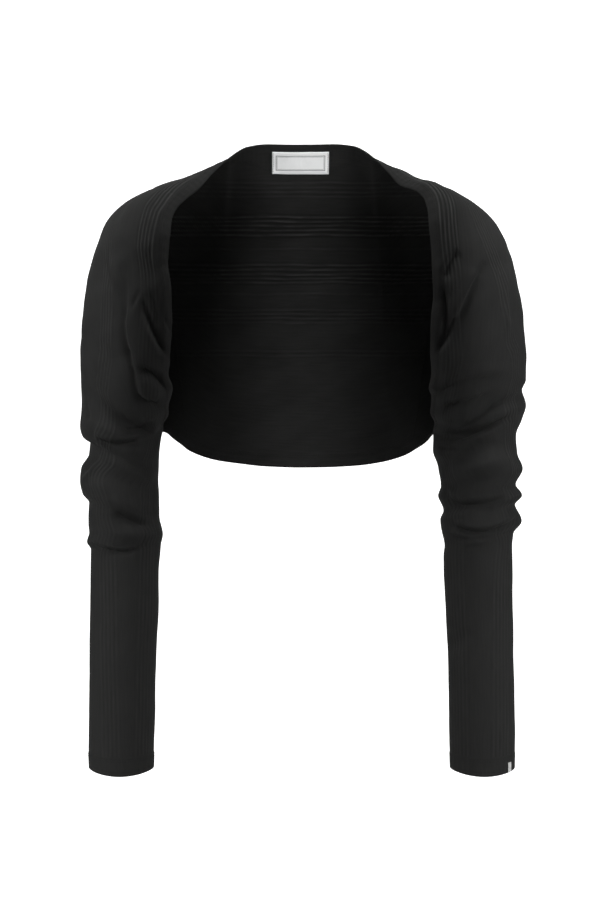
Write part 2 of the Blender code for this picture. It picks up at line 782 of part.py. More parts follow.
def sleeve_stations():
    """The stations of a sleeve's rows: close together where it is pushed into folds."""
    to_underarm = open_stations(BACK_SEAM, UNDERARM)
    to_level = np.linspace(UNDERARM, FOLDS_END, ROWS_TO_LEVEL + 1)
    to_cuff = np.linspace(FOLDS_END, cuff_station(), ROWS_TO_CUFF + 1)
    return np.concatenate([to_underarm, to_level[1:], to_cuff[1:]])


def cuff_station():
    """The station of the seam above the cuff's hem."""
    height = OUTER_HEIGHTS[-1] + CUFF_HEM
    return float(np.interp(height, OUTER_HEIGHTS[::-1], TUBE_STATIONS[::-1]))


def build_sleeve(cloth, name, side):
    """One sleeve with its front: open down to the underarm and a tube from there to the cuff."""
    size = sleeve_stations()
    station = (side * size)[:: side]
    length = cloth.length(station)
    first = (SHOULDER_BAND + 0.5 * SEAM_GAP) / length
    last = 1.0 - (HEM_BAND + 0.5 * SEAM_GAP) / length
    ribs = rib_columns(cloth, np.interp(np.abs(station), *zip(*SLEEVE_RIBS)), station)
    start = np.zeros_like(first)[:, None]
    blocks = [start, first[:, None], ribs, spread(ribs[:, -1], last, SLEEVE_COLUMNS)]
    blocks += [last[:, None], start + 1.0]
    rib_blocks = [False, False, True, False, False, False]
    closed = np.abs(station) >= UNDERARM - 1e-6

    def sleeve_cells(stretches):
        cells = np.ones((len(station) - 1, stretches), bool)
        open_row = ~(closed[:-1] & closed[1:])
        cells[open_row, 0] = False
        cells[open_row, -1] = False
        return cells

    return ribbed_wall(cloth, name, station, blocks, rib_blocks, sleeve_cells, closed)


def build_strip(cloth, name, station, start, end, columns, ends):
    """A band along an edge, from one place across the cloth to another."""
    shares = np.linspace(0.0, 1.0, columns + 1)[None, :]
    across = start[:, None] * (1 - shares) + end[:, None] * shares
    points, normals = cloth.at(np.broadcast_to(station[:, None], across.shape), across)
    plain_wall(points, normals, EDGE_WALL, ends=ends).build(name, EDGE_CLOTH, KNIT_ROUGHNESS)


def build_bands(cloth):
    """The neck band, the two front bands and the hem band."""
    half_gap = 0.5 * SEAM_GAP
    neck = open_stations(-NECK_POINT, NECK_POINT)
    depth = (band_depth(neck) - half_gap) / cloth.length(neck)
    build_strip(cloth, "neck_band", neck, np.zeros_like(depth), depth, NECK_COLUMNS, (half_gap, half_gap))
    right = open_stations(-UNDERARM, -NECK_POINT)
    depth = (band_depth(right) - half_gap) / cloth.length(right)
    ends = (UNDERARM_GAP, half_gap)
    build_strip(cloth, "front_band_right", right, np.zeros_like(depth), depth, BAND_COLUMNS, ends)
    left = open_stations(NECK_POINT, UNDERARM)
    depth = (band_depth(left) - half_gap) / cloth.length(left)
    ends = (half_gap, UNDERARM_GAP)
    build_strip(cloth, "front_band_left", left, np.zeros_like(depth), depth, BAND_COLUMNS, ends)
    hem = open_stations(-HEM_BAND_END, HEM_BAND_END)
    depth = (HEM_BAND - half_gap) / cloth.length(hem)
    ends = (0.0, 0.0)
    build_strip(cloth, "hem_band", hem, 1.0 - depth, np.ones_like(depth), BAND_COLUMNS, ends)


def build_cuffs(cloth):
    """The turned hems at the ends of the sleeves."""
    columns = np.linspace(0.0, 1.0, CUFF_COLUMNS + 1)
    half_gap = 0.5 * SEAM_GAP
    for name, side, ends in (("cuff_right", -1, (0.0, half_gap)), ("cuff_left", 1, (half_gap, 0.0))):
        station = (side * np.linspace(cuff_station(), CUFF_END, CUFF_ROWS + 1))[::side]
        stations, across = np.meshgrid(station, columns, indexing="ij")
        points, normals = cloth.at(stations, across)
        shape = plain_wall(points, normals, EDGE_WALL, ends=ends, welded=True)
        shape.build(name, EDGE_CLOTH, KNIT_ROUGHNESS)


def build_neck_label(cloth):
    """The label inside the neck band: its short ends are folded under and so are thicker."""
    x = np.array([-0.5, -0.5, -0.25, 0.0, 0.25, 0.5, 0.5]) * LABEL_WIDTH
    x[1] += LABEL_FOLD
    x[-2] -= LABEL_FOLD
    along_neck = np.linspace(-0.5 * NECK_POINT, 0.5 * NECK_POINT, 61)
    neck_x = cloth.at(along_neck, np.full(len(along_neck), 0.05))[0][:, 0]
    station = np.interp(x, neck_x, along_neck)
    folded = np.array([True, True, False, False, False, True, True])
    thick = np.where(folded, LABEL_FOLD_THICK, LABEL_THICK)[:, None, None]
    drops = LABEL_TOP + np.linspace(0.0, LABEL_DROP, LABEL_ROWS + 1)
    across = drops[None, :] / cloth.length(station)[:, None]
    points, normals = cloth.at(np.broadcast_to(station[:, None], across.shape), across)
    lift = -(0.5 * EDGE_WALL + SEAM_GAP + 0.5 * thick)
    plain_wall(points, normals, thick, lift).build("neck_label", LABEL_CLOTH, LABEL_ROUGHNESS)


def build_cuff_tab(cloth):
    """The small folded tab on the outer side of the wearer's left cuff."""
    end = OUTER_HEIGHTS[-1]
    heights = np.array([end + TAB_ABOVE_END, end + TAB_ABOVE_END + TAB_LENGTH])
    station = np.interp(heights, OUTER_HEIGHTS[::-1], TUBE_STATIONS[::-1])[::-1]
    half = 0.5 * TAB_WIDTH / cloth.length(station)
    across = TAB_ACROSS + np.stack([-half, half], axis=1)
    points, normals = cloth.at(np.broadcast_to(station[:, None], across.shape), across)
    lift = 0.5 * EDGE_WALL + SEAM_GAP + 0.5 * TAB_THICK
    plain_wall(points, normals, TAB_THICK, lift).build("cuff_tab", TAB_CLOTH, LABEL_ROUGHNESS)


def main():
    """Clear the scene and build every piece."""
    for old in list(bpy.data.objects):
        bpy.data.objects.remove(old, do_unlink=True)
    cloth = Cloth()
    build_back(cloth)
    build_sleeve(cloth, "sleeve_right", -1)
    build_sleeve(cloth, "sleeve_left", 1)
    build_bands(cloth)
    build_cuffs(cloth)
    build_neck_label(cloth)
    build_cuff_tab(cloth)


main()
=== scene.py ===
"""A black fine-gauge knitted shrug, filled out as it is worn: its knit, its sewing and its labels.

Frame: metres, +Z up, the wearer faces -Y and the wearer's right sleeve is at -X. Tables and sizes
are in millimetres. The whole cloth is one surface, read by two numbers: the station, which runs
from cuff to cuff and is negative on the wearer's right, and the place across a station's line,
which starts at the neck or front edge, goes over the shoulder and ends at the hem.
"""

import logging
import math
from dataclasses import dataclass
from enum import Enum
from typing import Callable, Mapping, NamedTuple, Optional, Sequence, Tuple, TypeVar, Union

import bpy
import numpy as np
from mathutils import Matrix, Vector


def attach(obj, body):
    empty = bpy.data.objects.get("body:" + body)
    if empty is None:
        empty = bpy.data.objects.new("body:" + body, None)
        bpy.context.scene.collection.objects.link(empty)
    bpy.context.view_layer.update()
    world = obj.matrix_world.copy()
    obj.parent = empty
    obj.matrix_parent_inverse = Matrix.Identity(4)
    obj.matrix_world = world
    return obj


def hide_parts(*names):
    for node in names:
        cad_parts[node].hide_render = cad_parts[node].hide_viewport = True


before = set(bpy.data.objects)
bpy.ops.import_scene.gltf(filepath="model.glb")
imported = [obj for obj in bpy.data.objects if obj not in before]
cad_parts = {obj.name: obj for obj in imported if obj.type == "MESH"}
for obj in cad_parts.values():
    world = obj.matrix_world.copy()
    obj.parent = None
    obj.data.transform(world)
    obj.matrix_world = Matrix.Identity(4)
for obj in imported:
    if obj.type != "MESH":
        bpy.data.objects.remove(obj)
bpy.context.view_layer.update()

LOG = logging.getLogger("shrug")
MM = 0.001

# Stations of the cloth's landmarks.
NECK_POINT = 3.0
BACK_SEAM = 6.0
UNDERARM = 11.0
LEVEL = 14.0
UNDERARM_BLEND = 12.6
FOLDS_END = 14.3
CUFF_END = 18.0

# Heights of a sleeve's outer and inner line at the underarm, where its lines turn level, and at
# the end of the cuff.
TUBE_STATIONS = (UNDERARM, LEVEL, CUFF_END)
OUTER_HEIGHTS = (-205.0, -372.0, -608.5)
INNER_HEIGHTS = (-258.0, -372.0, -608.5)
CUFF_DIP = 6.0
BEZIER_BULGE = 4.0 / 3.0
FOLD_END_FADE = 0.22


class Place(NamedTuple):
    """A point of the surface on one station's line."""

    station: float
    x: float
    y: float
    z: float


class Side(NamedTuple):
    """The distance of a sleeve's side from the middle plane, at one height."""

    z: float
    x: float


class Lean(NamedTuple):
    """How a station's line leaves its ends and its top: reaches of its Bezier handles."""

    station: float
    top_back_y: float
    top_back_z: float
    hem_x: float
    hem_y: float
    hem_z: float
    top_front_y: float
    edge_x: float
    edge_y: float
    edge_z: float


class Depth(NamedTuple):
    """A closed sleeve's middle and its depth to the front and the back, at one station."""

    station: float
    outer_y: float
    inner_y: float
    front: float
    back: float


class Fold(NamedTuple):
    """A crease (height below 0) or ridge through three points, seen from the front or back.

    lip is a second, opposite fold beside it, above its line where lip is positive.
    """

    x0: float
    z0: float
    x1: float
    z1: float
    x2: float
    z2: float
    width: float
    height: float
    lip: float = 0.0


class Across(NamedTuple):
    """A place across one station's line."""

    station: float
    across: float


class RibLine(NamedTuple):
    """A raised line of the knit across the back, by its height and its strength."""

    z: float
    strength: float


class SleeveSide(Enum):
    """The wearer's sleeves, by the sign of their stations."""

    RIGHT = -1
    LEFT = 1


Row = TypeVar("Row")


def table_of(kind: Callable[..., Row], *rows: Sequence[float]) -> Tuple[Row, ...]:
    """A table whose rows are all of one kind."""
    return tuple(kind(*row) for row in rows)


# The front and neck edge, the outer line and the hem.
EDGE = table_of(
    Place,
    (-11, -146, 20, -258),
    (-10.8, -144, -8, -250),
    (-10.6, -138, -28, -239),
    (-10.45, -137, -39, -230),
    (-10.25, -133, -52, -214),
    (-10, -136, -62, -201),
    (-9.5, -133, -76, -170),
    (-9, -131, -85, -140),
    (-8.5, -132, -90, -115),
    (-8, -135, -92, -87),
    (-7.5, -134, -90, -64),
    (-7, -132, -83, -44),
    (-6.5, -127, -74, -31),
    (-6, -120, -63, -22),
    (-5, -105, -38, -7),
    (-4, -92, -8, 11),
    (-3, -76, 20, 29),
    (-2, -56, 40, 44.5),
    (-1, -33, 49, 48),
    (0, 0, 52, 48),
    (1, 33, 49, 48),
    (2, 57, 40, 45),
    (3, 77, 20, 30),
    (4, 91, -8, 13),
    (5, 104, -38, -4),
    (6, 121, -63, -13),
    (6.5, 128, -74, -23),
    (7, 131, -83, -37),
    (7.5, 132, -90, -60),
    (8, 134, -92, -90),
    (8.5, 135, -90, -116),
    (9, 134, -85, -145),
    (9.5, 133, -76, -170),
    (10, 135, -62, -201),
    (10.25, 133, -52, -215),
    (10.4, 136, -43, -223),
    (10.6, 136, -29, -237),
    (10.8, 141, -8, -250),
    (11, 141, 20, -258),
)
OUTER = table_of(
    Place,
    (-11, -229, 0, -205),
    (-10.5, -230, 2, -174),
    (-10, -229, 3, -144),
    (-9.5, -225, 4, -113),
    (-9, -219, 5, -83),
    (-8.5, -213, 5, -60),
    (-8, -205.5, 6, -43),
    (-7.5, -195, 6, -29.5),
    (-7, -183, 7, -19.5),
    (-6, -156, 9, -4),
    (-5, -125, 12, 6.5),
    (-4, -98, 16, 18),
    *(place for place in EDGE if abs(place.station) <= NECK_POINT),
    (4, 98, 16, 20),
    (5, 125, 12, 7),
    (6, 156, 9, -6.5),
    (7, 183, 7, -21),
    (7.5, 195, 6, -30),
    (8, 206, 6, -43),
    (8.5, 214, 5, -57),
    (9, 221, 5, -79),
    (9.5, 228, 4, -108),
    (10, 233, 3, -140),
    (10.5, 236, 2, -172),
    (11, 236, 0, -205),
)
HEM = table_of(
    Place,
    (-11, -146, 20, -258),
    (-10, -141, 29, -260),
    (-9, -136, 38, -264),
    (-8, -131, 46, -268.5),
    (-7, -126, 53, -273),
    (-6, -120, 60, -278),
    (-5, -112, 67, -282),
    (-4, -103, 73, -285.5),
    (-3, -91, 79, -289),
    (-2, -64, 84, -293),
    (-1, -33, 87, -296),
    (0, 0, 88, -297),
    (1, 33, 87, -296.5),
    (2, 65, 84, -294.5),
    (3, 92, 79, -290),
    (4, 103, 73, -287),
    (5, 112, 67, -283.5),
    (6, 120, 60, -279.5),
    (7, 126, 53, -275.5),
    (8, 131, 46, -271.5),
    (9, 135, 38, -267),
    (10, 138, 29, -262),
    (11, 141, 20, -258),
)

# The sleeves' sides, from the underarm to the cuff.
OUTER_SIDE_RIGHT = table_of(
    Side,
    (-205, -229), (-231, -228), (-252, -231), (-264, -228), (-270, -220),
    (-282, -221), (-297, -229), (-310, -230), (-323, -227), (-333, -220),
    (-355, -221), (-364, -220), (-374, -223), (-382, -218.5), (-400, -219),
    (-440, -219), (-490, -219.5), (-590, -219.5), (-610, -219),
)
INNER_SIDE_RIGHT = table_of(
    Side,
    (-258, -146), (-280, -149), (-316, -150), (-345, -149), (-366, -145),
    (-378, -147), (-406, -148.5), (-448, -149), (-490, -151), (-541, -152),
    (-610, -153.5),
)
OUTER_SIDE_LEFT = table_of(
    Side,
    (-205, 236), (-215, 232), (-231, 235), (-245, 231), (-261, 226),
    (-282, 227), (-298, 232), (-314, 225), (-325, 232), (-335, 224),
    (-352, 230), (-365, 222), (-388, 221.5), (-423, 221), (-490, 221.5),
    (-556, 222.5), (-610, 222),
)
INNER_SIDE_LEFT = table_of(
    Side,
    (-258, 141), (-278, 140), (-297, 146), (-316, 148), (-326, 145),
    (-342, 151), (-351, 148), (-378, 151), (-388, 150), (-418, 151),
    (-457, 153), (-490, 154.5), (-573, 155.5), (-610, 156.5),
)

# How each station's line bends, alike on both sides of the body.
LEANS = table_of(
    Lean,
    (0, 14, -62, 0, 15, 110, 0, 0, 0, 0),
    (1, 18, -60, -1, 15, 110, 0, 0, 0, 0),
    (2, 34, -44, -3, 16, 108, 0, 0, 0, 0),
    (3, 62, 0, -5, 18, 104, 0, 0, 0, 0),
    (4, 78, 0, -7, 20, 99, 9, -3, 2, 7),
    (5, 88, 0, -9, 23, 92, 26, -9, -6, 12),
    (6, 92, 0, -11, 27, 82, 42, -18, -13, 14),
    (7, 92, 0, -13, 33, 66, 53, -24, -17, 17),
    (8, 88, 0, -16, 40, 50, 62, -30, -21, 16),
    (9, 82, 0, -20, 45, 36, 70, -28, -30, 11),
    (10, 77, 0, -24, 49, 24, 74, -19, -48, 0),
    (11, 74, 0, -26, 52, 12, 76, -4, -97, -22),
)
DEPTHS = table_of(
    Depth,
    (11, 0, 20, 57, 56),
    (11.5, -1, 15, 58, 54),
    (11.9, -1, 10, 52, 56),
    (12.3, -2, 5, 56, 52),
    (12.7, -3, 0, 49, 54),
    (13.1, -5, -5, 50, 47),
    (13.5, -7, -8, 44, 47),
    (13.8, -9, -10, 44, 42),
    (14.1, -10, -11, 39, 41),
    (14.5, -12, -13, 37, 37),
    (16.5, -23, -23, 35, 35),
    (18, -31, -31, 34, 34),
)

# The main folds.
FRONT_FOLDS_RIGHT = table_of(
    Fold,
    (-182, -90, -183, -150, -173, -193, 8, -4.5),
    (-203, -60, -199, -144, -196, -215, 10, -2.0),
    (-159, -124, -150, -156, -138, -180, 8, -3.5),
    (-168, -198, -151, -200, -138, -215, 7.5, -4.5),
    (-168, -211, -154, -215, -143, -223, 7, 3.0),
    (-174, -226, -158, -230, -139, -231, 7, -4.0),
    (-184, -254, -167, -256, -147, -249, 7, -3.0),
    (-214, -254, -190, -258, -168, -256, 9, 4.0),
    (-214, -267, -187, -273, -160, -265, 7, -5.0),
    (-215, -318, -195, -312, -170, -316, 12, 3.5),
    (-193, -341, -177, -350, -154, -354, 8, -4.0),
    (-217, -377, -195, -382, -166, -380, 6, -2.5),
)
BACK_FOLDS_RIGHT = table_of(
    Fold,
    (-205, -88, -190, -128, -172, -172, 10, -3.5),
    (-222, -196, -195, -212, -160, -214, 8, -4.5),
    (-222, -232, -190, -240, -156, -236, 9, 3.5),
    (-218, -262, -186, -272, -156, -262, 8, -4.5),
    (-218, -306, -190, -314, -158, -306, 10, 3.0),
    (-214, -336, -186, -344, -158, -340, 8, -4.0),
    (-212, -372, -188, -378, -158, -374, 7, -2.5),
)
FRONT_FOLDS_LEFT = table_of(
    Fold,
    (161, -74, 152, -88, 148, -105, 8, -2.5),
    (145, -113, 148, -142, 141, -177, 8, -4.0),
    (183, -99, 168, -132, 143, -175, 8, -3.5),
    (178, -92, 164, -116, 153, -142, 8, 2.5),
    (216, -84, 211, -120, 214, -156, 8, 2.5),
    (138, -217, 160, -211, 210, -206, 7, -4.5),
    (146, -234, 170, -232, 216, -219, 7, -4.5),
    (156, -248, 186, -244, 222, -230, 8, 3.5),
    (150, -265, 179, -260, 224, -242, 7, -5.5),
    (154, -292, 186, -294, 222, -288, 12, 4.0),
    (155, -328, 176, -335, 216, -327, 8, -4.0),
    (160, -360, 188, -363, 222, -352, 7, -3.5),
    (178, -464, 165, -476, 154, -486, 8, -2.0),
)
BACK_FOLDS_LEFT = table_of(
    Fold,
    (212, -96, 196, -130, 166, -166, 10, -3.5),
    (228, -202, 196, -206, 158, -222, 8, -4.5),
    (228, -226, 192, -232, 156, -246, 9, 3.5),
    (224, -252, 188, -262, 152, -270, 8, -5.0),
    (222, -300, 190, -306, 156, -312, 11, 3.5),
    (218, -332, 190, -340, 160, -338, 8, -4.0),
    (214, -362, 192, -370, 162, -372, 7, -3.0),
)

# Single raised lines of the knit across the back, from the neck down.
BACK_RIB_LINES = table_of(
    RibLine,
    (7.6, 0.35), (2.6, 0.3), (-2.0, 0.4), (-6.6, 0.35),
    (-28.5, 1.0), (-33.0, 1.0), (-37.5, 0.95), (-42.2, 0.9),
    (-47.2, 1.0),
    (-62.0, 0.25),
    (-79.2, 0.7), (-84.2, 0.8), (-89.2, 0.85), (-93.6, 0.75),
    (-97.6, 0.7),
    (-110.0, 0.25),
    (-127.4, 0.35), (-131.8, 0.45), (-136.2, 0.45), (-140.6, 0.35),
    (-171.4, 0.25), (-176.0, 0.25),
)
# Where the middles of the groups of raised lines run down each sleeve.
FRONT_GROUP_RIGHT = table_of(
    Across,
    (-18.0, 0.130), (-12.0, 0.130), (-9.0, 0.072), (-7.6, 0.064),
    (-7.0, 0.058), (-6.6, 0.054), (-6.0, 0.058), (-5.0, 0.066),
    (-3.0, 0.080),
)
FRONT_GROUP_LEFT = table_of(
    Across,
    (3.0, 0.080), (4.8, 0.066), (6.0, 0.056), (7.0, 0.052), (7.6, 0.052),
    (9.0, 0.066), (12.0, 0.130), (18.0, 0.130),
)
OUTER_GROUP_RIGHT = table_of(
    Across,
    (-18.0, 0.290), (-15.3, 0.315), (-12.5, 0.330), (-11.0, 0.330),
    (-10.3, 0.270), (-9.8, 0.240), (-8.7, 0.230), (-7.8, 0.230),
    (-6.0, 0.220),
)
OUTER_GROUP_LEFT = table_of(
    Across,
    (6.0, 0.140), (7.1, 0.155), (7.9, 0.178), (8.4, 0.200), (9.0, 0.245),
    (9.6, 0.275), (10.1, 0.310), (10.8, 0.390), (12.3, 0.400),
    (13.2, 0.370), (15.8, 0.345), (18.0, 0.335),
)
REAR_GROUP_SHARE = 0.63
REAR_GROUP_HEIGHT = -38.0

# Creases, sharper than the main folds: each has its own width and height, and a lip that is
# positive where cloth is pushed up on the left of the way it runs.
FRONT_CREASES_RIGHT = table_of(
    Fold,
    (-181, -84, -181, -112, -182, -146, 6.0, -2.4),
    (-182, -128, -183, -158, -177, -184, 3.6, -3.0, 1.4),
    (-180, -172, -175, -188, -170, -203, 3.6, -3.4, 1.6),
    (-171, -195, -169, -215, -164, -230, 3.4, -2.6, 0.8),
    (-168, -224, -156, -230, -140, -231, 2.8, -3.4, 1.8),
    (-161, -120, -159, -132, -155, -146, 3.6, -2.2),
    (-158, -138, -149, -160, -134, -184, 2.8, -4.0, -1.8),
    (-154, -115, -147, -135, -145, -155, 4.0, -2.4),
    (-163, -114, -168, -124, -173, -133, 2.6, -1.8, 1.0),
    (-138, -139, -137, -148, -132, -158, 1.9, -1.4),
    (-167, -197, -150, -201, -135, -220, 3.2, -4.2, 2.2),
    (-167, -200, -154, -206, -145, -215, 2.4, 1.7),
    (-166, -231, -164, -238, -162, -244, 1.5, -0.8),
    (-186, -253, -168, -257, -143, -246, 3.2, -3.2, 1.6),
    (-216, -264, -187, -273, -158, -263, 3.4, -3.6, 3.0),
    (-172, -270, -157, -261, -142, -247, 3.2, 2.4),
    (-224, -228, -221, -237, -220, -249, 3.0, -2.6),
    (-201, -82, -198, -98, -194, -113, 2.8, -1.5, 0.7),
    (-227, -311, -218, -301, -208, -290, 2.4, 2.2),
    (-224, -302, -217, -293, -208, -283, 3.0, -2.0),
    (-194, -338, -177, -350, -152, -357, 3.4, -2.6, 1.4),
    (-168, -337, -156, -343, -148, -353, 6.0, -2.0),
    (-172, -377, -166, -376, -160, -374, 3.6, -1.4),
    (-219, -373, -207, -379, -192, -382, 1.9, -2.6, 1.8),
    (-200, -380, -182, -383, -165, -378, 1.9, -2.6, 1.8),
)
FRONT_CREASES_LEFT = table_of(
    Fold,
    (144, -110, 148, -135, 145, -154, 3.4, -3.6, 0.8),
    (147, -144, 144, -163, 138, -182, 3.0, -3.2),
    (157, -140, 153, -157, 140, -177, 2.4, -3.0, 1.2),
    (186, -94, 172, -121, 160, -150, 3.4, -2.2, -1.6),
    (178, -118, 175, -130, 170, -140, 2.2, 1.2),
    (163, -74, 152, -88, 147, -106, 3.4, -1.8, -1.2),
    (190, -84, 187, -92, 184, -101, 3.6, -1.2),
    (215, -82, 211, -120, 214, -160, 3.0, 1.6),
    (219, -92, 216, -122, 218, -150, 3.4, -1.6),
    (132, -216, 143, -218, 157, -212, 3.4, -3.2, 1.6),
    (148, -212, 180, -208, 220, -204, 5.0, -1.6, 1.2),
    (141, -234, 166, -233, 204, -219, 3.6, -4.2, 1.0),
    (162, -239, 188, -228, 228, -215, 3.0, 2.6),
    (186, -235, 198, -232, 215, -225, 1.9, -2.2, 0.6),
    (172, -243, 179, -239, 190, -235, 4.0, -2.0),
    (143, -251, 152, -252, 165, -249, 3.2, -2.8, 0.8),
    (147, -264, 177, -260, 224, -240, 4.2, -4.6, 1.2),
    (154, -270, 184, -263, 229, -243, 3.0, 2.6),
    (144, -274, 151, -275, 164, -276, 3.2, -2.2),
    (178, -270, 190, -271, 202, -268, 4.0, -1.2),
    (151, -317, 158, -332, 174, -335, 3.2, -3.2, 1.2),
    (166, -334, 190, -333, 219, -325, 3.0, -3.0, 1.6),
    (181, -338, 190, -340, 201, -339, 4.0, -1.4),
    (158, -355, 182, -363, 209, -358, 2.8, -3.4, 1.8),
    (199, -361, 213, -356, 226, -348, 2.6, -3.0, 1.6),
    (154, -364, 164, -369, 175, -370, 1.8, -1.8, 0.7),
    (178, -370, 197, -368, 218, -363, 1.8, -1.9, 0.7),
    (170, -379, 179, -378, 189, -377, 1.9, -1.2, 0.4),
)
BACK_CREASES_RIGHT = table_of(
    Fold,
    (-206, -96, -196, -132, -178, -166, 4.0, -2.6, -1.4),
    (-176, -120, -168, -152, -158, -188, 4.5, -2.2, 1.0),
    (-224, -197, -196, -213, -158, -216, 3.6, -3.4, 2.0),
    (-214, -226, -196, -232, -172, -230, 3.0, -2.0, 1.0),
    (-221, -262, -188, -273, -156, -262, 3.6, -3.6, 2.2),
    (-206, -284, -188, -290, -168, -286, 4.5, -1.8),
    (-218, -336, -188, -345, -156, -341, 3.2, -2.8, 1.6),
    (-218, -374, -190, -380, -158, -375, 2.2, -2.6, 1.8),
)
BACK_CREASES_LEFT = table_of(
    Fold,
    (214, -104, 200, -134, 174, -162, 4.0, -2.6, 1.4),
    (178, -118, 170, -150, 160, -186, 4.5, -2.2, -1.0),
    (158, -223, 194, -207, 230, -203, 3.6, -3.4, 2.0),
    (170, -240, 194, -234, 216, -236, 3.0, -2.0, 1.0),
    (152, -271, 188, -263, 226, -252, 3.6, -3.8, 2.2),
    (164, -290, 186, -286, 206, -280, 4.5, -1.8),
    (158, -339, 190, -341, 220, -332, 3.2, -2.8, 1.6),
    (160, -373, 192, -371, 216, -362, 2.2, -2.6, 1.8),
)

# How finely the surface is worked out and the pieces are divided.
LATTICE_STEP = 0.02
LATTICE_ACROSS = 401
BEZIER_STEPS = 140
COARSE_REACH = 14
FINE_REACH = 4
FOLD_STEPS = 24

# How far a fold reaches, in widths, where it begins to rise, and its lip's offset and width.
FOLD_REACH = 4.0
FOLD_START = -0.05
LIP_OFFSET = 1.8
LIP_WIDTH = 1.1
# How much the cloth has to face the front or the back for a fold to be full there.
FACING_FULL = 0.7
# How much calmer the cloth is below the folds, and over how many stations that and the cuffs'
# dip come in.
FOREARM_CALM = 0.7
CALM_REACH = 0.6
TINY = 1e-9

Array = np.ndarray
Colour = Tuple[float, float, float, float]
Settings = Mapping[str, object]
Sockets = Mapping[Union[str, int], object]
BLACK = (0.0, 0.0, 0.0, 1.0)
TAPE_CLOUD = 0.6
TAPE_WEAVE = 0.3
# The sockets of a Mix node that hold colours.
MIX_FIRST = 6
MIX_SECOND = 7
MIX_COLOUR = 2
SHARP_ANGLE = math.radians(60.0)
# The share of the way to its fold at which an edge stops getting thinner.
FOLD_LIMIT = 0.97


def read_table(table: Sequence[NamedTuple], at: Array, still_ends: bool = False) -> Array:
    """Read a table between its rows, on smooth curves that never overshoot a row.

    Args:
        table: Rows of named columns, in any order, keyed by the first one.
        at: Keys to read at.
        still_ends: Whether the curves come to rest at the first and the last row.

    Returns:
        One row of the other columns' values for each key asked for.
    """
    rows = np.array(sorted(table), float)
    keys, values = rows[:, 0], rows[:, 1:]
    step = np.diff(keys)[:, None]
    slope = np.diff(values, axis=0) / step
    before, after = slope[:-1], slope[1:]
    weight_before = 2.0 * step[1:] + step[:-1]
    weight_after = step[1:] + 2.0 * step[:-1]
    same_way = before * after > 0.0
    safe_before = np.where(same_way, before, 1.0)
    safe_after = np.where(same_way, after, 1.0)
    mean = (weight_before + weight_after) / (weight_before / safe_before + weight_after / safe_after)
    end_share = 0.0 if still_ends else 1.0
    inside = np.where(same_way, mean, 0.0)
    tangent = np.vstack([end_share * slope[:1], inside, end_share * slope[-1:]])
    at = np.clip(np.asarray(at, float), keys[0], keys[-1])
    row = np.clip(np.searchsorted(keys, at, side="right") - 1, 0, len(keys) - 2)
    span = step[row]
    u = (at - keys[row])[:, None] / span
    return (
        (2 * u**3 - 3 * u**2 + 1) * values[row]
        + (u**3 - 2 * u**2 + u) * span * tangent[row]
        + (3 * u**2 - 2 * u**3) * values[row + 1]
        + (u**3 - u**2) * span * tangent[row + 1]
    )


def fade(value: Array, low: float, high: float) -> Array:
    """Rise smoothly from 0 at low to 1 at high."""
    u = np.clip((value - low) / (high - low), 0.0, 1.0)
    return u * u * (3.0 - 2.0 * u)


def bezier(start: Array, start_handle: Array, end_handle: Array, end: Array, steps: int) -> Array:
    """Points along cubic curves.

    Args:
        start: Where each curve starts, one row a curve.
        start_handle: Each curve's first handle.
        end_handle: Each curve's second handle.
        end: Where each curve ends.
        steps: Steps along each curve.

    Returns:
        An array of curve, step and coordinate.
    """
    u = np.linspace(0.0, 1.0, steps + 1)[None, :, None]
    return (
        (1 - u) ** 3 * start[:, None]
        + 3 * (1 - u) ** 2 * u * start_handle[:, None]
        + 3 * (1 - u) * u**2 * end_handle[:, None]
        + u**3 * end[:, None]
    )


def vectors(x: Union[float, Array], y: Union[float, Array], z: Union[float, Array]) -> Array:
    """One vector a row, from its three parts."""
    return np.stack(np.broadcast_arrays(x, y, z), axis=1)


def sleeve_places(
    stations: Array, heights: Sequence[float], side_table: Sequence[Side], middle: Array
) -> Array:
    """Points down the outer or inner line of a closed sleeve.

    Args:
        stations: Stations to give a point for.
        heights: The line's heights at TUBE_STATIONS.
        side_table: Its distance from the middle plane at each height.
        middle: Its y at each station.

    Returns:
        One point for each station.
    """
    z = np.interp(np.abs(stations), TUBE_STATIONS, heights)
    return vectors(read_table(side_table, z)[:, 0], middle, z)


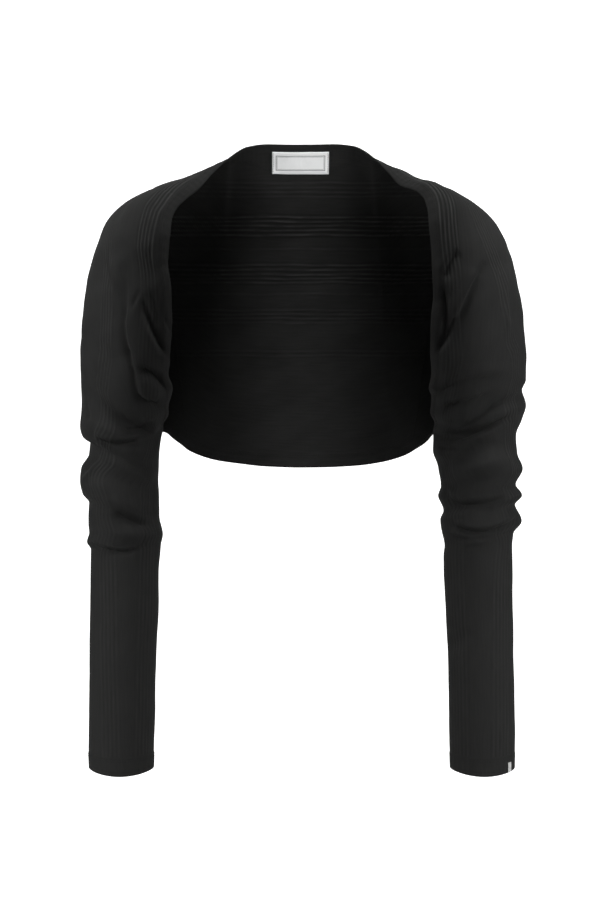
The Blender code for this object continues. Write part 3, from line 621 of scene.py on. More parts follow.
def station_frame(stations: Array) -> Tuple[Array, ...]:
    """The edge, top and hem points of each station's line, and its Bezier handles.

    Args:
        stations: Stations to work out.

    Returns:
        Edge, top and hem, then the handles at the edge, at the top towards the front and the
        back, and at the hem, each relative to its point.
    """
    size = np.abs(stations)
    edge = read_table(EDGE, stations, still_ends=True)
    top = np.where(size[:, None] > NECK_POINT, read_table(OUTER, stations), edge)
    hem = read_table(HEM, stations)
    lean = Lean(size, *read_table(LEANS, size).T)
    sign = np.where(stations < 0.0, 1.0, -1.0)
    top_back = vectors(0.0, lean.top_back_y, lean.top_back_z)
    hem_back = vectors(sign * lean.hem_x, lean.hem_y, lean.hem_z)
    top_front = vectors(0.0, -lean.top_front_y, 0.0)
    edge_front = vectors(sign * lean.edge_x, lean.edge_y, lean.edge_z)
    depth = Depth(size, *read_table(DEPTHS, size).T)
    start = DEPTHS[0]
    underarm_front = np.array([0.0, start.outer_y - start.inner_y - BEZIER_BULGE * start.front, 0.0])
    underarm_back = np.array([0.0, start.outer_y - start.inner_y + BEZIER_BULGE * start.back, 0.0])
    sides = ((-1, OUTER_SIDE_RIGHT, INNER_SIDE_RIGHT), (1, OUTER_SIDE_LEFT, INNER_SIDE_LEFT))
    for side, outer_table, inner_table in sides:
        tube = stations * side > UNDERARM
        if not tube.any():
            continue
        outer = sleeve_places(stations[tube], OUTER_HEIGHTS, outer_table, depth.outer_y[tube])
        inner = sleeve_places(stations[tube], INNER_HEIGHTS, inner_table, depth.inner_y[tube])
        front = vectors(0.0, -BEZIER_BULGE * depth.front[tube], 0.0)
        back = vectors(0.0, BEZIER_BULGE * depth.back[tube], 0.0)
        top[tube] = outer
        edge[tube] = inner
        hem[tube] = inner
        shift = vectors(0.0, depth.outer_y[tube] - depth.inner_y[tube], 0.0)
        kept = fade(UNDERARM_BLEND - size[tube], 0.0, UNDERARM_BLEND - UNDERARM)[:, None]
        top_front[tube] = front
        edge_front[tube] = front + shift + kept * (edge_front[tube] - underarm_front)
        top_back[tube] = back
        hem_back[tube] = back + shift + kept * (hem_back[tube] - underarm_back)
    return edge, top, hem, edge_front, top_front, top_back, hem_back


def read_path(at: Array, run: Array, path: Array) -> Array:
    """Points of a path at some distances along it, where run is the distance to each of its points."""
    return np.stack([np.interp(at, run, path[:, axis]) for axis in range(3)], axis=1)


def along(points: Array, count: int) -> Tuple[Array, Array]:
    """Points at even distances along each row of points.

    Args:
        points: Rows of points.
        count: Points wanted in each row.

    Returns:
        The points, and each row's length.
    """
    shares = np.linspace(0.0, 1.0, count)
    gaps = np.linalg.norm(np.diff(points, axis=1), axis=2)
    run = np.concatenate([np.zeros((len(points), 1)), np.cumsum(gaps, axis=1)], axis=1)
    even = [read_path(shares * far[-1], far, path) for far, path in zip(run, points)]
    return np.array(even), run[:, -1]


def fold_heights(points: Array, folds: Sequence[Fold]) -> Array:
    """How far a table of folds lifts or sinks points, seen along Y.

    Args:
        points: The points, with coordinates last.
        folds: The folds.

    Returns:
        The lift of each point.
    """
    lift = np.zeros(points.shape[:-1])
    for fold in folds:
        knots = np.array([[fold.x0, fold.z0], [fold.x1, fold.z1], [fold.x2, fold.z2]], float)
        u = np.linspace(0.0, 1.0, FOLD_STEPS + 1)[:, None]
        line = (1 - u) * (1 - 2 * u) * knots[0] + 4 * u * (1 - u) * knots[1] + u * (2 * u - 1) * knots[2]
        reach = FOLD_REACH * fold.width
        low, high = line.min(axis=0) - reach, line.max(axis=0) + reach
        x, z = points[..., 0], points[..., 2]
        close = (x > low[0]) & (x < high[0]) & (z > low[1]) & (z < high[1])
        if not close.any():
            continue
        x, z = x[close], z[close]
        near = np.full(x.shape, np.inf)
        place = np.zeros(x.shape)
        side = np.zeros(x.shape)
        for index in range(FOLD_STEPS):
            run = line[index + 1] - line[index]
            dx, dz = x - line[index][0], z - line[index][1]
            share = np.clip((dx * run[0] + dz * run[1]) / (run @ run), 0.0, 1.0)
            distance = np.hypot(dx - share * run[0], dz - share * run[1])
            closer = distance < near
            near = np.where(closer, distance, near)
            place = np.where(closer, (index + share) / FOLD_STEPS, place)
            side = np.where(closer, np.sign(run[0] * dz - run[1] * dx), side)
        ends = fade(place, FOLD_START, FOLD_END_FADE) * fade(1.0 - place, FOLD_START, FOLD_END_FADE)
        shape = fold.height * np.exp(-((near / fold.width) ** 2))
        if fold.lip:
            beside = side * near - math.copysign(LIP_OFFSET * fold.width, fold.lip)
            shape += abs(fold.lip) * np.exp(-((beside / (LIP_WIDTH * fold.width)) ** 2))
        lift[close] += shape * ends
    return lift


def outward(points: Array, closed: Array, reach: int) -> Array:
    """Unit normals of a lattice of points, facing out of the cloth's hollow side.

    Args:
        points: The lattice.
        closed: Which of its rows close on themselves.
        reach: How many rows off on either side the run along the stations is taken from.

    Returns:
        A normal for each point.
    """
    padded = np.pad(points, ((reach, reach), (0, 0), (0, 0)), mode="edge")
    along_station = padded[2 * reach :] - padded[: -2 * reach]
    along_across = np.gradient(points, axis=1)
    normal = np.cross(along_station, along_across)
    seam = normal[closed, 0] + normal[closed, -1]
    normal[closed, 0] = seam
    normal[closed, -1] = seam
    return normal / np.maximum(np.linalg.norm(normal, axis=2, keepdims=True), TINY)


@dataclass(frozen=True)
class Swell:
    """One soft wave of the cloth's unevenness."""

    along: Tuple[float, float, float]
    length: float
    height: float
    phase: float

    def lift(self, points: Array) -> Array:
        """The wave's height at each point."""
        way = np.array(self.along) / np.linalg.norm(self.along)
        return self.height * np.sin(2.0 * math.pi * (points @ way) / self.length + self.phase)


SWELLS = (
    Swell((1.0, 0.3, 0.6), 61.0, 0.42, 0.4),
    Swell((-0.7, 0.5, 1.0), 43.0, 0.32, 2.1),
    Swell((0.2, 1.0, -0.9), 34.0, 0.30, 4.4),
    Swell((1.0, -0.8, 0.2), 27.0, 0.20, 1.3),
    Swell((0.6, 0.1, -1.0), 19.0, 0.12, 5.2),
)


class Surface:
    """The cloth's middle surface, worked out once on a fine lattice and read between its points."""

    def __init__(self) -> None:
        """Work out the lattice with its folds and its normals."""
        count = int(round(2 * CUFF_END / LATTICE_STEP)) + 1
        self.stations = np.linspace(-CUFF_END, CUFF_END, count)
        edge, top, hem, edge_front, top_front, top_back, hem_back = station_frame(self.stations)
        front = bezier(edge, edge + edge_front, top + top_front, top, BEZIER_STEPS)
        back = bezier(top, top + top_back, hem + hem_back, hem, 2 * BEZIER_STEPS)
        points, self.lengths = along(np.concatenate([front, back[:, 1:]], axis=1), LATTICE_ACROSS)
        closed = np.abs(self.stations) > UNDERARM
        normals = outward(points, closed, COARSE_REACH)
        below = fade(np.abs(self.stations), FOLDS_END - CALM_REACH, FOLDS_END + CALM_REACH)
        calm = 1.0 - FOREARM_CALM * below[:, None]
        lift = self.folds(points, normals) + calm * sum(swell.lift(points) for swell in SWELLS)
        points = points + normals * lift[..., None]
        points[..., 2] += self.cuff_dip(points)
        self.points = points
        self.normals = outward(points, closed, FINE_REACH)
        middles = points.mean(axis=1)
        steps = np.linalg.norm(np.diff(middles, axis=0), axis=1)
        self.arc = np.concatenate([[0.0], np.cumsum(steps)])

    def folds(self, points: Array, normals: Array) -> Array:
        """The folds' heights over the whole lattice.

        Args:
            points: The lattice.
            normals: Its outward normals.

        Returns:
            The lift of each point along its normal.
        """
        facing = -normals[..., 1]
        front = fade(facing, 0.0, FACING_FULL)
        back = fade(-facing, 0.0, FACING_FULL)
        right = self.stations < 0.0
        lift = np.empty(facing.shape)
        for rows, in_front, behind in (
            (right, FRONT_FOLDS_RIGHT + FRONT_CREASES_RIGHT, BACK_FOLDS_RIGHT + BACK_CREASES_RIGHT),
            (~right, FRONT_FOLDS_LEFT + FRONT_CREASES_LEFT, BACK_FOLDS_LEFT + BACK_CREASES_LEFT),
        ):
            lift[rows] = front[rows] * fold_heights(points[rows], in_front)
            lift[rows] += back[rows] * fold_heights(points[rows], behind)
        return lift

    def cuff_dip(self, points: Array) -> Array:
        """How much lower the cuffs' ends hang at their front and back than at their sides.

        Args:
            points: The lattice.

        Returns:
            Each point's drop, below 0.
        """
        shares = np.linspace(0.0, 1.0, points.shape[1])
        wave = -0.5 * CUFF_DIP * (1.0 - np.cos(4.0 * np.pi * shares))
        return fade(np.abs(self.stations), CUFF_END - CALM_REACH, CUFF_END)[:, None] * wave

    def read(self, table: Array, station: Array, across: Array) -> Array:
        """Values of a lattice between its points.

        Args:
            table: The lattice's values.
            station: Stations to read at.
            across: Places across them to read at.

        Returns:
            The values.
        """
        row = (station + CUFF_END) / LATTICE_STEP
        column = across * (LATTICE_ACROSS - 1)
        i = np.clip(np.floor(row).astype(int), 0, table.shape[0] - 2)
        j = np.clip(np.floor(column).astype(int), 0, table.shape[1] - 2)
        u = np.clip(row - i, 0.0, 1.0)[..., None]
        v = np.clip(column - j, 0.0, 1.0)[..., None]
        near = table[i, j] * (1 - u) + table[i + 1, j] * u
        far = table[i, j + 1] * (1 - u) + table[i + 1, j + 1] * u
        return near * (1 - v) + far * v

    def length(self, station: Array) -> Array:
        """The length of each station's line."""
        return np.interp(station, self.stations, self.lengths)

    def run(self, station: Array) -> Array:
        """The distance along the cloth's middle from the right cuff to each station."""
        return np.interp(station, self.stations, self.arc)

    def at(self, station: Array, across: Array) -> Tuple[Array, Array]:
        """Points and outward normals.

        Args:
            station: Stations to read at.
            across: Places across them to read at.

        Returns:
            The points and the normals.
        """
        normal = self.read(self.normals, station, across)
        normal /= np.linalg.norm(normal, axis=-1, keepdims=True)
        return self.read(self.points, station, across), normal

    def at_heights(self, station: Array, heights: Sequence[float]) -> Array:
        """The places across the stations' lines where the back comes down to some heights.

        Args:
            station: The stations.
            heights: The heights.

        Returns:
            A row for each station and a column for each height.
        """
        shares = np.linspace(0.0, 1.0, LATTICE_ACROSS)
        lines = self.at(station[:, None], shares[None, :])[0]
        found = []
        for z in lines[..., 2]:
            top = int(np.argmax(z))
            found.append(np.interp(-np.asarray(heights), -z[top:], shares[top:]))
        return np.array(found)


def math_node(operation: str, swapped: bool = False) -> Callable[..., "Field"]:
    """Make an operator that adds a Math node on a field and what stands beside it.

    Args:
        operation: The node's operation.
        swapped: Whether the field is the node's second value.

    Returns:
        The operator.
    """

    def operator(field: "Field", *others: Union["Field", float]) -> "Field":
        """Add the node."""
        values = (*others, field) if swapped else (field, *others)
        return field.nodes.value("ShaderNodeMath", {"operation": operation}, dict(enumerate(values)))

    return operator


class Field:
    """A shader socket that takes part in Python expressions; each operation adds its Math node."""

    def __init__(self, nodes: "Nodes", socket: bpy.types.NodeSocket) -> None:
        """Wrap a socket of a node tree."""
        self.nodes = nodes
        self.socket = socket

    __add__ = __radd__ = math_node("ADD")
    __mul__ = __rmul__ = math_node("MULTIPLY")
    __sub__ = math_node("SUBTRACT")
    __rsub__ = math_node("SUBTRACT", swapped=True)
    __truediv__ = math_node("DIVIDE")
    __rtruediv__ = math_node("DIVIDE", swapped=True)
    __lt__ = math_node("LESS_THAN")
    __gt__ = math_node("GREATER_THAN")
    __abs__ = math_node("ABSOLUTE")
    fraction = math_node("FRACT")
    sine = math_node("SINE")
    least = math_node("MINIMUM")


class Nodes:
    """The node tree of one material."""

    def __init__(self, name: str) -> None:
        """Make the material and keep its shader.

        Args:
            name: The material's name.
        """
        self.material = bpy.data.materials.new(name)
        self.material.use_nodes = True
        self.tree = self.material.node_tree
        self.shader = self.tree.nodes["Principled BSDF"]

    def make(self, kind: str, settings: Settings, sockets: Sockets) -> bpy.types.Node:
        """Add a node.

        Args:
            kind: The node's type.
            settings: Its settings, which are set first.
            sockets: Values or fields for its inputs.

        Returns:
            The node.
        """
        node = self.tree.nodes.new(kind)
        for name, setting in settings.items():
            setattr(node, name, setting)
        for name, value in sockets.items():
            self.feed(node.inputs[name], value)
        return node

    def feed(self, socket: bpy.types.NodeSocket, value: object) -> None:
        """Set an input, or link a field to it.

        Args:
            socket: The input.
            value: A field, or a value that is the same all over.
        """
        if isinstance(value, Field):
            self.tree.links.new(value.socket, socket)
        else:
            socket.default_value = value

    def value(self, kind: str, settings: Settings, sockets: Sockets) -> Field:
        """Add a node and wrap its first output."""
        return Field(self, self.make(kind, settings, sockets).outputs[0])

    def place(self) -> Field:
        """The place in the object's own coordinates, in metres."""
        return Field(self, self.make("ShaderNodeTexCoord", {}, {}).outputs["Object"])

    def object_place(self, axis: str) -> Field:
        """The place along one axis of the object, in metres."""
        return Field(self, self.make("ShaderNodeSeparateXYZ", {}, {"Vector": self.place()}).outputs[axis])

    def noise(self, scale: float, detail: float = 2.0, place: Optional[Field] = None) -> Field:
        """Smooth noise, over the object's own coordinates if no place is given."""
        sockets = {"Vector": place or self.place(), "Scale": scale, "Detail": detail}
        return self.value("ShaderNodeTexNoise", {}, sockets)

    def streaks(self, across: Field, along_wale: Field, width: float, length: float) -> Field:
        """Noise drawn out along the wales, with streaks about this wide and long, in metres."""
        sockets = {"X": across / width, "Y": along_wale / length}
        return self.noise(1.0, place=self.value("ShaderNodeCombineXYZ", {}, sockets))

    def smooth(self, value: Field, low: float, high: float) -> Field:
        """0 at low and 1 at high, smoothly in between."""
        sockets = {"Value": value, "From Min": low, "From Max": high}
        return self.value("ShaderNodeMapRange", {"interpolation_type": "SMOOTHSTEP"}, sockets)

    def knit_place(self) -> Tuple[Field, Field]:
        """The place on the flat cloth: across the wales and along them, in metres.

        Returns:
            The two distances.
        """
        place = self.value("ShaderNodeUVMap", {"uv_map": "Knit"}, {})
        parts = self.make("ShaderNodeSeparateXYZ", {}, {"Vector": place})
        return Field(self, parts.outputs["X"]), Field(self, parts.outputs["Y"])

    def weave(self, u: Field, v: Field, yarn: float) -> Field:
        """A plain weave of yarns this far apart, in metres, from 0 to 1."""
        turns = 2.0 * math.pi / yarn
        return (u * turns).sine() * (v * turns).sine() * 0.5 + 0.5

    def tape(self, weave: Field, cloud: Field, light: Colour, shade: Colour) -> Field:
        """The colour of woven tape, darker where cloud and weave are high."""
        return self.mix(cloud * TAPE_CLOUD + weave * TAPE_WEAVE, light, shade)

    def attribute(self, name: str) -> Field:
        """A value kept on the mesh."""
        settings = {"attribute_type": "GEOMETRY", "attribute_name": name}
        return Field(self, self.make("ShaderNodeAttribute", settings, {}).outputs["Fac"])

    def mix(self, factor: Field, first: Union[Colour, Field], second: Union[Colour, Field]) -> Field:
        """Mix two colours.

        Args:
            factor: How much of the second colour is in the mix.
            first: The colour at 0.
            second: The colour at 1.

        Returns:
            The mixed colour.
        """
        node = self.make("ShaderNodeMix", {"data_type": "RGBA"}, {"Factor": factor})
        self.feed(node.inputs[MIX_FIRST], first)
        self.feed(node.inputs[MIX_SECOND], second)
        return Field(self, node.outputs[MIX_COLOUR])

    def finish(
        self, varying: Mapping[str, Field], height: Field, relief: float, **fixed: object
    ) -> bpy.types.Material:
        """Feed the shader.

        Args:
            varying: Fields for the sockets that vary over the surface.
            height: The fine relief, from 0 to 1.
            relief: What a height of 1 stands for, in metres.
            fixed: Values for sockets that are the same all over, with _ for a space.

        Returns:
            The material.
        """
        bump = self.value("ShaderNodeBump", {}, {"Strength": 1.0, "Distance": relief, "Height": height})
        self.feed(self.shader.inputs["Normal"], bump)
        for name, field in varying.items():
            self.feed(self.shader.inputs[name], field)
        for name, value in fixed.items():
            self.shader.inputs[name.replace("_", " ")].default_value = value
        return self.material


@dataclass(frozen=True)
class KnitFinish:
    """Fine black knit: small slanted stitches in wales, a little fuzz, a faint sheen and painted highlight
    along its raised lines.
    """

    name: str = "black_knit"
    deep: Colour = (0.0120, 0.0121, 0.0119, 1.0)
    worn: Colour = (0.0225, 0.0227, 0.0222, 1.0)
    # Painted highlight: the paler colour laid along the knit's raised lines.
    ridge: Colour = (0.0420, 0.0424, 0.0415, 1.0)
    wale: float = 0.00130
    course: float = 0.00095
    slant: float = 2.6
    relief: float = 0.00022
    roughness: float = 0.88
    sheen: float = 0.02
    sheen_roughness: float = 0.45
    sheen_tint: Colour = (0.78, 0.79, 0.77, 1.0)
    shine: float = 0.06
    fuzz_scale: float = 1400.0
    cloud_scale: float = 24.0
    cloud_detail: float = 3.0
    streak: Tuple[float, float] = (0.0016, 0.030)
    streak_range: Tuple[float, float] = (0.35, 0.65)
    rib_highlight_breaks: Tuple[float, float] = (0.0030, 0.022)
    rib_highlight_break_range: Tuple[float, float] = (0.30, 0.62)
    loop_height: float = 0.35
    # What makes the cloth paler at random, how strongly its raised lines show as painted highlight, with
    # painted shade in the grooves beside them, and what its relief is made of.
    worn_by_cloud: float = 0.45
    worn_by_fuzz: float = 0.25
    worn_by_streak: float = 0.2
    raised_least: float = 0.12
    rib_highlight_least: float = 0.25
    rib_highlight_by_break: float = 0.85
    uneven_roughness: float = 0.12
    stitch_relief: float = 0.5
    fuzz_relief: float = 0.3
    streak_relief: float = 0.35

    def build(self) -> bpy.types.Material:
        """Make the material.

        Returns:
            The material.
        """
        nodes = Nodes(self.name)
        u, v = nodes.knit_place()
        beside = abs((u / self.wale).fraction() * 2.0 - 1.0)
        leg = 1.0 - beside * beside
        turn = (v * (2.0 * math.pi / self.course) + beside * self.slant).sine()
        stitch = leg * (turn * self.loop_height + (1.0 - self.loop_height))
        fuzz = nodes.noise(self.fuzz_scale)
        cloud = nodes.noise(self.cloud_scale, self.cloud_detail)
        rib = nodes.attribute("rib")
        fine = nodes.smooth(nodes.streaks(u, v, *self.streak), *self.streak_range)
        broken = nodes.smooth(nodes.streaks(u, v, *self.rib_highlight_breaks), *self.rib_highlight_break_range)
        worn = cloud * self.worn_by_cloud + fuzz * self.worn_by_fuzz + fine * self.worn_by_streak
        cloth = nodes.mix(worn, self.deep, self.worn)
        # Painted highlight along the raised lines, where the yarn would catch the light, and painted shade
        # in the grooves beside them, broken up by streaks.
        raised = rib * (broken * self.rib_highlight_by_break + self.rib_highlight_least) + self.raised_least
        colour = nodes.mix(raised, cloth, self.ridge)
        return nodes.finish(
            {"Base Color": colour, "Roughness": cloud * self.uneven_roughness + self.roughness},
            stitch * self.stitch_relief + fuzz * self.fuzz_relief + fine * self.streak_relief,
            self.relief,
            Sheen_Weight=self.sheen,
            Sheen_Roughness=self.sheen_roughness,
            Sheen_Tint=self.sheen_tint,
            Specular_IOR_Level=self.shine,
        )


@dataclass(frozen=True)
class ThreadFinish:
    """Black sewing thread, twisted and a little shinier than the knit."""

    name: str = "black_thread"
    colour: Colour = (0.006, 0.006, 0.006, 1.0)
    light: Colour = (0.012, 0.012, 0.012, 1.0)
    relief: float = 0.00006
    fibre_scale: float = 2600.0
    roughness: float = 0.6
    uneven_roughness: float = 0.2
    shine: float = 0.08

    def build(self) -> bpy.types.Material:
        """Make the material.

        Returns:
            The material.
        """
        nodes = Nodes(self.name)
        fibres = nodes.noise(self.fibre_scale)
        colour = nodes.mix(fibres, self.colour, self.light)
        return nodes.finish(
            {"Base Color": colour, "Roughness": fibres * self.uneven_roughness + self.roughness},
            fibres,
            self.relief,
            Specular_IOR_Level=self.shine,
        )


@dataclass(frozen=True)
class LabelFinish:
    """White woven tape with a plain woven border line."""

    name: str = "woven_label"
    size: Tuple[float, float] = (0.0610, 0.0240)
    white: Colour = (0.92, 0.93, 0.93, 1.0)
    shade: Colour = (0.81, 0.82, 0.82, 1.0)
    border: Colour = (0.045, 0.045, 0.048, 1.0)
    border_inset: float = 0.0040
    border_width: float = 0.00055
    border_gap: float = 0.0013
    yarn: float = 0.00032
    relief: float = 0.00008
    cloud_scale: float = 90.0
    roughness: float = 0.55
    uneven_roughness: float = 0.15
    fine_line: float = 0.45
    sheen: float = 0.1
    shine: float = 0.35

    def line(self, gap: Field, inset: float, width: float) -> Field:
        """1 on a line that runs this far inside the label's edge."""
        return (gap > inset) * (gap < inset + width)

    def build(self) -> bpy.types.Material:
        """Make the material.

        Returns:
            The material.
        """
        nodes = Nodes(self.name)
        u, v = nodes.knit_place()
        gap = u.least(self.size[0] - u).least(v.least(self.size[1] - v))
        line = self.line(gap, self.border_inset, self.border_width)
        fine = self.line(gap, self.border_inset + self.border_gap, self.fine_line * self.border_width)
        printed = line + fine
        weave = nodes.weave(u, v, self.yarn)
        cloud = nodes.noise(self.cloud_scale)
        tape = nodes.tape(weave, cloud, self.white, self.shade)
        colour = nodes.mix(printed, tape, self.border)
        return nodes.finish(
            {"Base Color": colour, "Roughness": cloud * self.uneven_roughness + self.roughness},
            weave,
            self.relief,
            Sheen_Weight=self.sheen,
            Specular_IOR_Level=self.shine,
        )


@dataclass(frozen=True)
class TabFinish:
    """Light grey woven tape."""

    name: str = "grey_tape"
    light: Colour = (0.62, 0.62, 0.61, 1.0)
    shade: Colour = (0.42, 0.42, 0.42, 1.0)
    yarn: float = 0.00040
    relief: float = 0.00008
    cloud_scale: float = 300.0
    roughness: float = 0.6
    uneven_roughness: float = 0.1

    def build(self) -> bpy.types.Material:
        """Make the material.

        Returns:
            The material.
        """
        nodes = Nodes(self.name)
        weave = nodes.weave(*nodes.knit_place(), self.yarn)
        cloud = nodes.noise(self.cloud_scale)
        tape = nodes.tape(weave, cloud, self.light, self.shade)
        rough = cloud * self.uneven_roughness + self.roughness
        return nodes.finish({"Base Color": tape, "Roughness": rough}, weave, self.relief)


@dataclass(frozen=True)
class BackdropFinish:
    """Pale matt paper that glows from where it turns up behind the garment, but not far to the sides:
    painted light from the paper itself, not a lamp.
    """

    name: str = "pale_paper"
    light: Colour = (0.86, 0.86, 0.86, 1.0)
    shade: Colour = (0.82, 0.82, 0.82, 1.0)
    roughness: float = 0.9
    cloud_scale: float = 1.5
    relief: float = 0.0001
    glow: float = 1.2
    behind: Tuple[float, float] = (1.5, 2.2)
    aside: Tuple[float, float] = (1.8, 0.9)

    def build(self) -> bpy.types.Material:
        """Make the material.

        Returns:
            The material.
        """
        nodes = Nodes(self.name)
        cloud = nodes.noise(self.cloud_scale)
        paper = nodes.mix(cloud, self.light, self.shade)
        # Painted light: the paper glows in its own colour on the wall behind, fading out towards the sides.
        behind = nodes.smooth(nodes.object_place("Y"), *self.behind)
        aside = nodes.smooth(abs(nodes.object_place("X")), *self.aside)
        return nodes.finish(
            {"Base Color": paper, "Emission Color": nodes.mix(behind * aside, BLACK, paper)},
            cloud,
            self.relief,
            Roughness=self.roughness,
            Emission_Strength=self.glow,
        )


class Workshop:
    """The finishes, each made once."""

    def __init__(self) -> None:
        """Make every material."""
        self.knit = KnitFinish().build()
        self.thread = ThreadFinish().build()
        self.label = LabelFinish().build()
        self.tape = TabFinish().build()


def add_object(name: str, data: bpy.types.ID) -> bpy.types.Object:
    """Put an object in the scene.

    Args:
        name: The object's name.
        data: Its mesh, light or camera.

    Returns:
        The object.
    """
    thing = bpy.data.objects.new(name, data)
    bpy.context.collection.objects.link(thing)
    return thing


def add_mesh(
    name: str, points: Sequence, faces: Sequence, material: bpy.types.Material
) -> bpy.types.Object:
    """Put a smooth mesh in the scene.

    Args:
        name: The object's name.
        points: Its points, in metres.
        faces: Its faces, by the numbers of their points.
        material: Its finish.

    Returns:
        The object.
    """
    mesh = bpy.data.meshes.new(name)
    mesh.from_pydata(points, [], faces)
    mesh.shade_smooth()
    mesh.materials.append(material)
    return add_object(name, mesh)


@dataclass(frozen=True)
class Cut:
    """The flat size that the showing cloth of a piece was cut to, and what it hangs from."""

    width: float
    length: float
    held: str
    rests_on: Tuple[str, ...] = ()
    area: Optional[float] = None

    def declare(self, piece: bpy.types.Object) -> None:
        """Do nothing: the cut is not passed on to the piece.

        Args:
            piece: The piece; not used.
        """


@dataclass
class Shell:
    """A closed thin wall between an outer and an inner grid of points."""

    name: str
    outer: Array
    inner: Array
    knit: Array
    rib: Array
    cells: Optional[Array] = None

    def faces(self) -> Array:
        """The wall's four-sided faces, by the numbers of the outer and then the inner points.

        Returns:
            A row of four numbers for each face.
        """
        rows, columns = self.outer.shape[:2]
        cells = np.ones((rows - 1, columns - 1), bool) if self.cells is None else self.cells
        out = np.arange(rows * columns).reshape(rows, columns)
        a, b, c, d = out[:-1, :-1], out[1:, :-1], out[1:, 1:], out[:-1, 1:]
        inner = rows * columns
        framed = np.pad(cells, 1)
        sides = (
            ((a, b, c, d), cells),
            ((a + inner, d + inner, c + inner, b + inner), cells),
            ((b, a, a + inner, b + inner), cells & ~framed[1:-1, :-2]),
            ((c, c + inner, d + inner, d), cells & ~framed[1:-1, 2:]),
            ((a, d, d + inner, a + inner), cells & ~framed[:-2, 1:-1]),
            ((c, b, b + inner, c + inner), cells & ~framed[2:, 1:-1]),
        )
        return np.concatenate([np.stack(corners, axis=-1)[mask] for corners, mask in sides])

    def build(self, material: bpy.types.Material) -> bpy.types.Object:
        """Make the object.

        Args:
            material: Its finish.

        Returns:
            The object.
        """
        faces = self.faces()
        used, faces = np.unique(faces, return_inverse=True)
        faces = faces.reshape(-1, 4)
        points = np.concatenate([self.outer.reshape(-1, 3), self.inner.reshape(-1, 3)])[used] * MM
        knit = np.concatenate([self.knit.reshape(-1, 2)] * 2)[used]
        rib = np.concatenate([self.rib.reshape(-1)] * 2)[used]
        piece = add_mesh(self.name, points.tolist(), faces.tolist(), material)
        mesh = piece.data
        layer = mesh.uv_layers.new(name="Knit")
        layer.uv.foreach_set("vector", knit[faces.reshape(-1)].astype(np.float32).reshape(-1))
        # The raised lines' heights, which the knit also reads to lay its painted highlight along them and
        # painted shade in the grooves.
        kept = mesh.attributes.new("rib", "FLOAT", "POINT")
        kept.data.foreach_set("value", rib.astype(np.float32))
        mesh.set_sharp_from_angle(angle=SHARP_ANGLE)
        return piece


def place_piece(
    piece: bpy.types.Object, node: Optional[str] = None, cut: Optional[Cut] = None
) -> bpy.types.Object:
    """Let a piece ride on the garment, hide the solid that it stands for and log its faces.

    Args:
        piece: The piece.
        node: The solid that it stands for.
        cut: The flat size of its cloth.

    Returns:
        The piece.
    """
    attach(piece, "root")
    if node:
        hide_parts(node)
    if cut:
        cut.declare(piece)
    LOG.info("%s: %d faces", piece.name, len(piece.data.polygons))
    return piece


def folded(off: Array, radius: float) -> Array:
    """How much of its thickness a folded edge has, by the distance from the fold."""
    return np.sqrt(1.0 - np.clip(1.0 - off / radius, 0.0, FOLD_LIMIT) ** 2)


def thinned(off: Array, reach: float, least: float) -> Array:
    """How thick an edge is, from its least share at the end to 1 at this reach from it."""
    return np.clip(off / reach, least, 1.0)


def flat_place(across: Array, along_it: Array) -> Array:
    """The places on a flat piece, in metres, from the distances across and along it."""
    return np.stack(np.broadcast_arrays(across, along_it), axis=-1) * MM


def between(anchors: Sequence[Array], counts: Sequence[int]) -> Array:
    """Columns of places across the cloth, spread evenly between anchors.

    Args:
        anchors: The place of each anchor at each station.
        counts: How many columns lie from each anchor to the next.

    Returns:
        A row for each station.
    """
    parts = [anchors[0][:, None]]
    for first, second, count in zip(anchors[:-1], anchors[1:], counts):
        shares = np.arange(1, count + 1)[None, :] / count
        parts.append(first[:, None] * (1 - shares) + second[:, None] * shares)
    return np.concatenate(parts, axis=1)


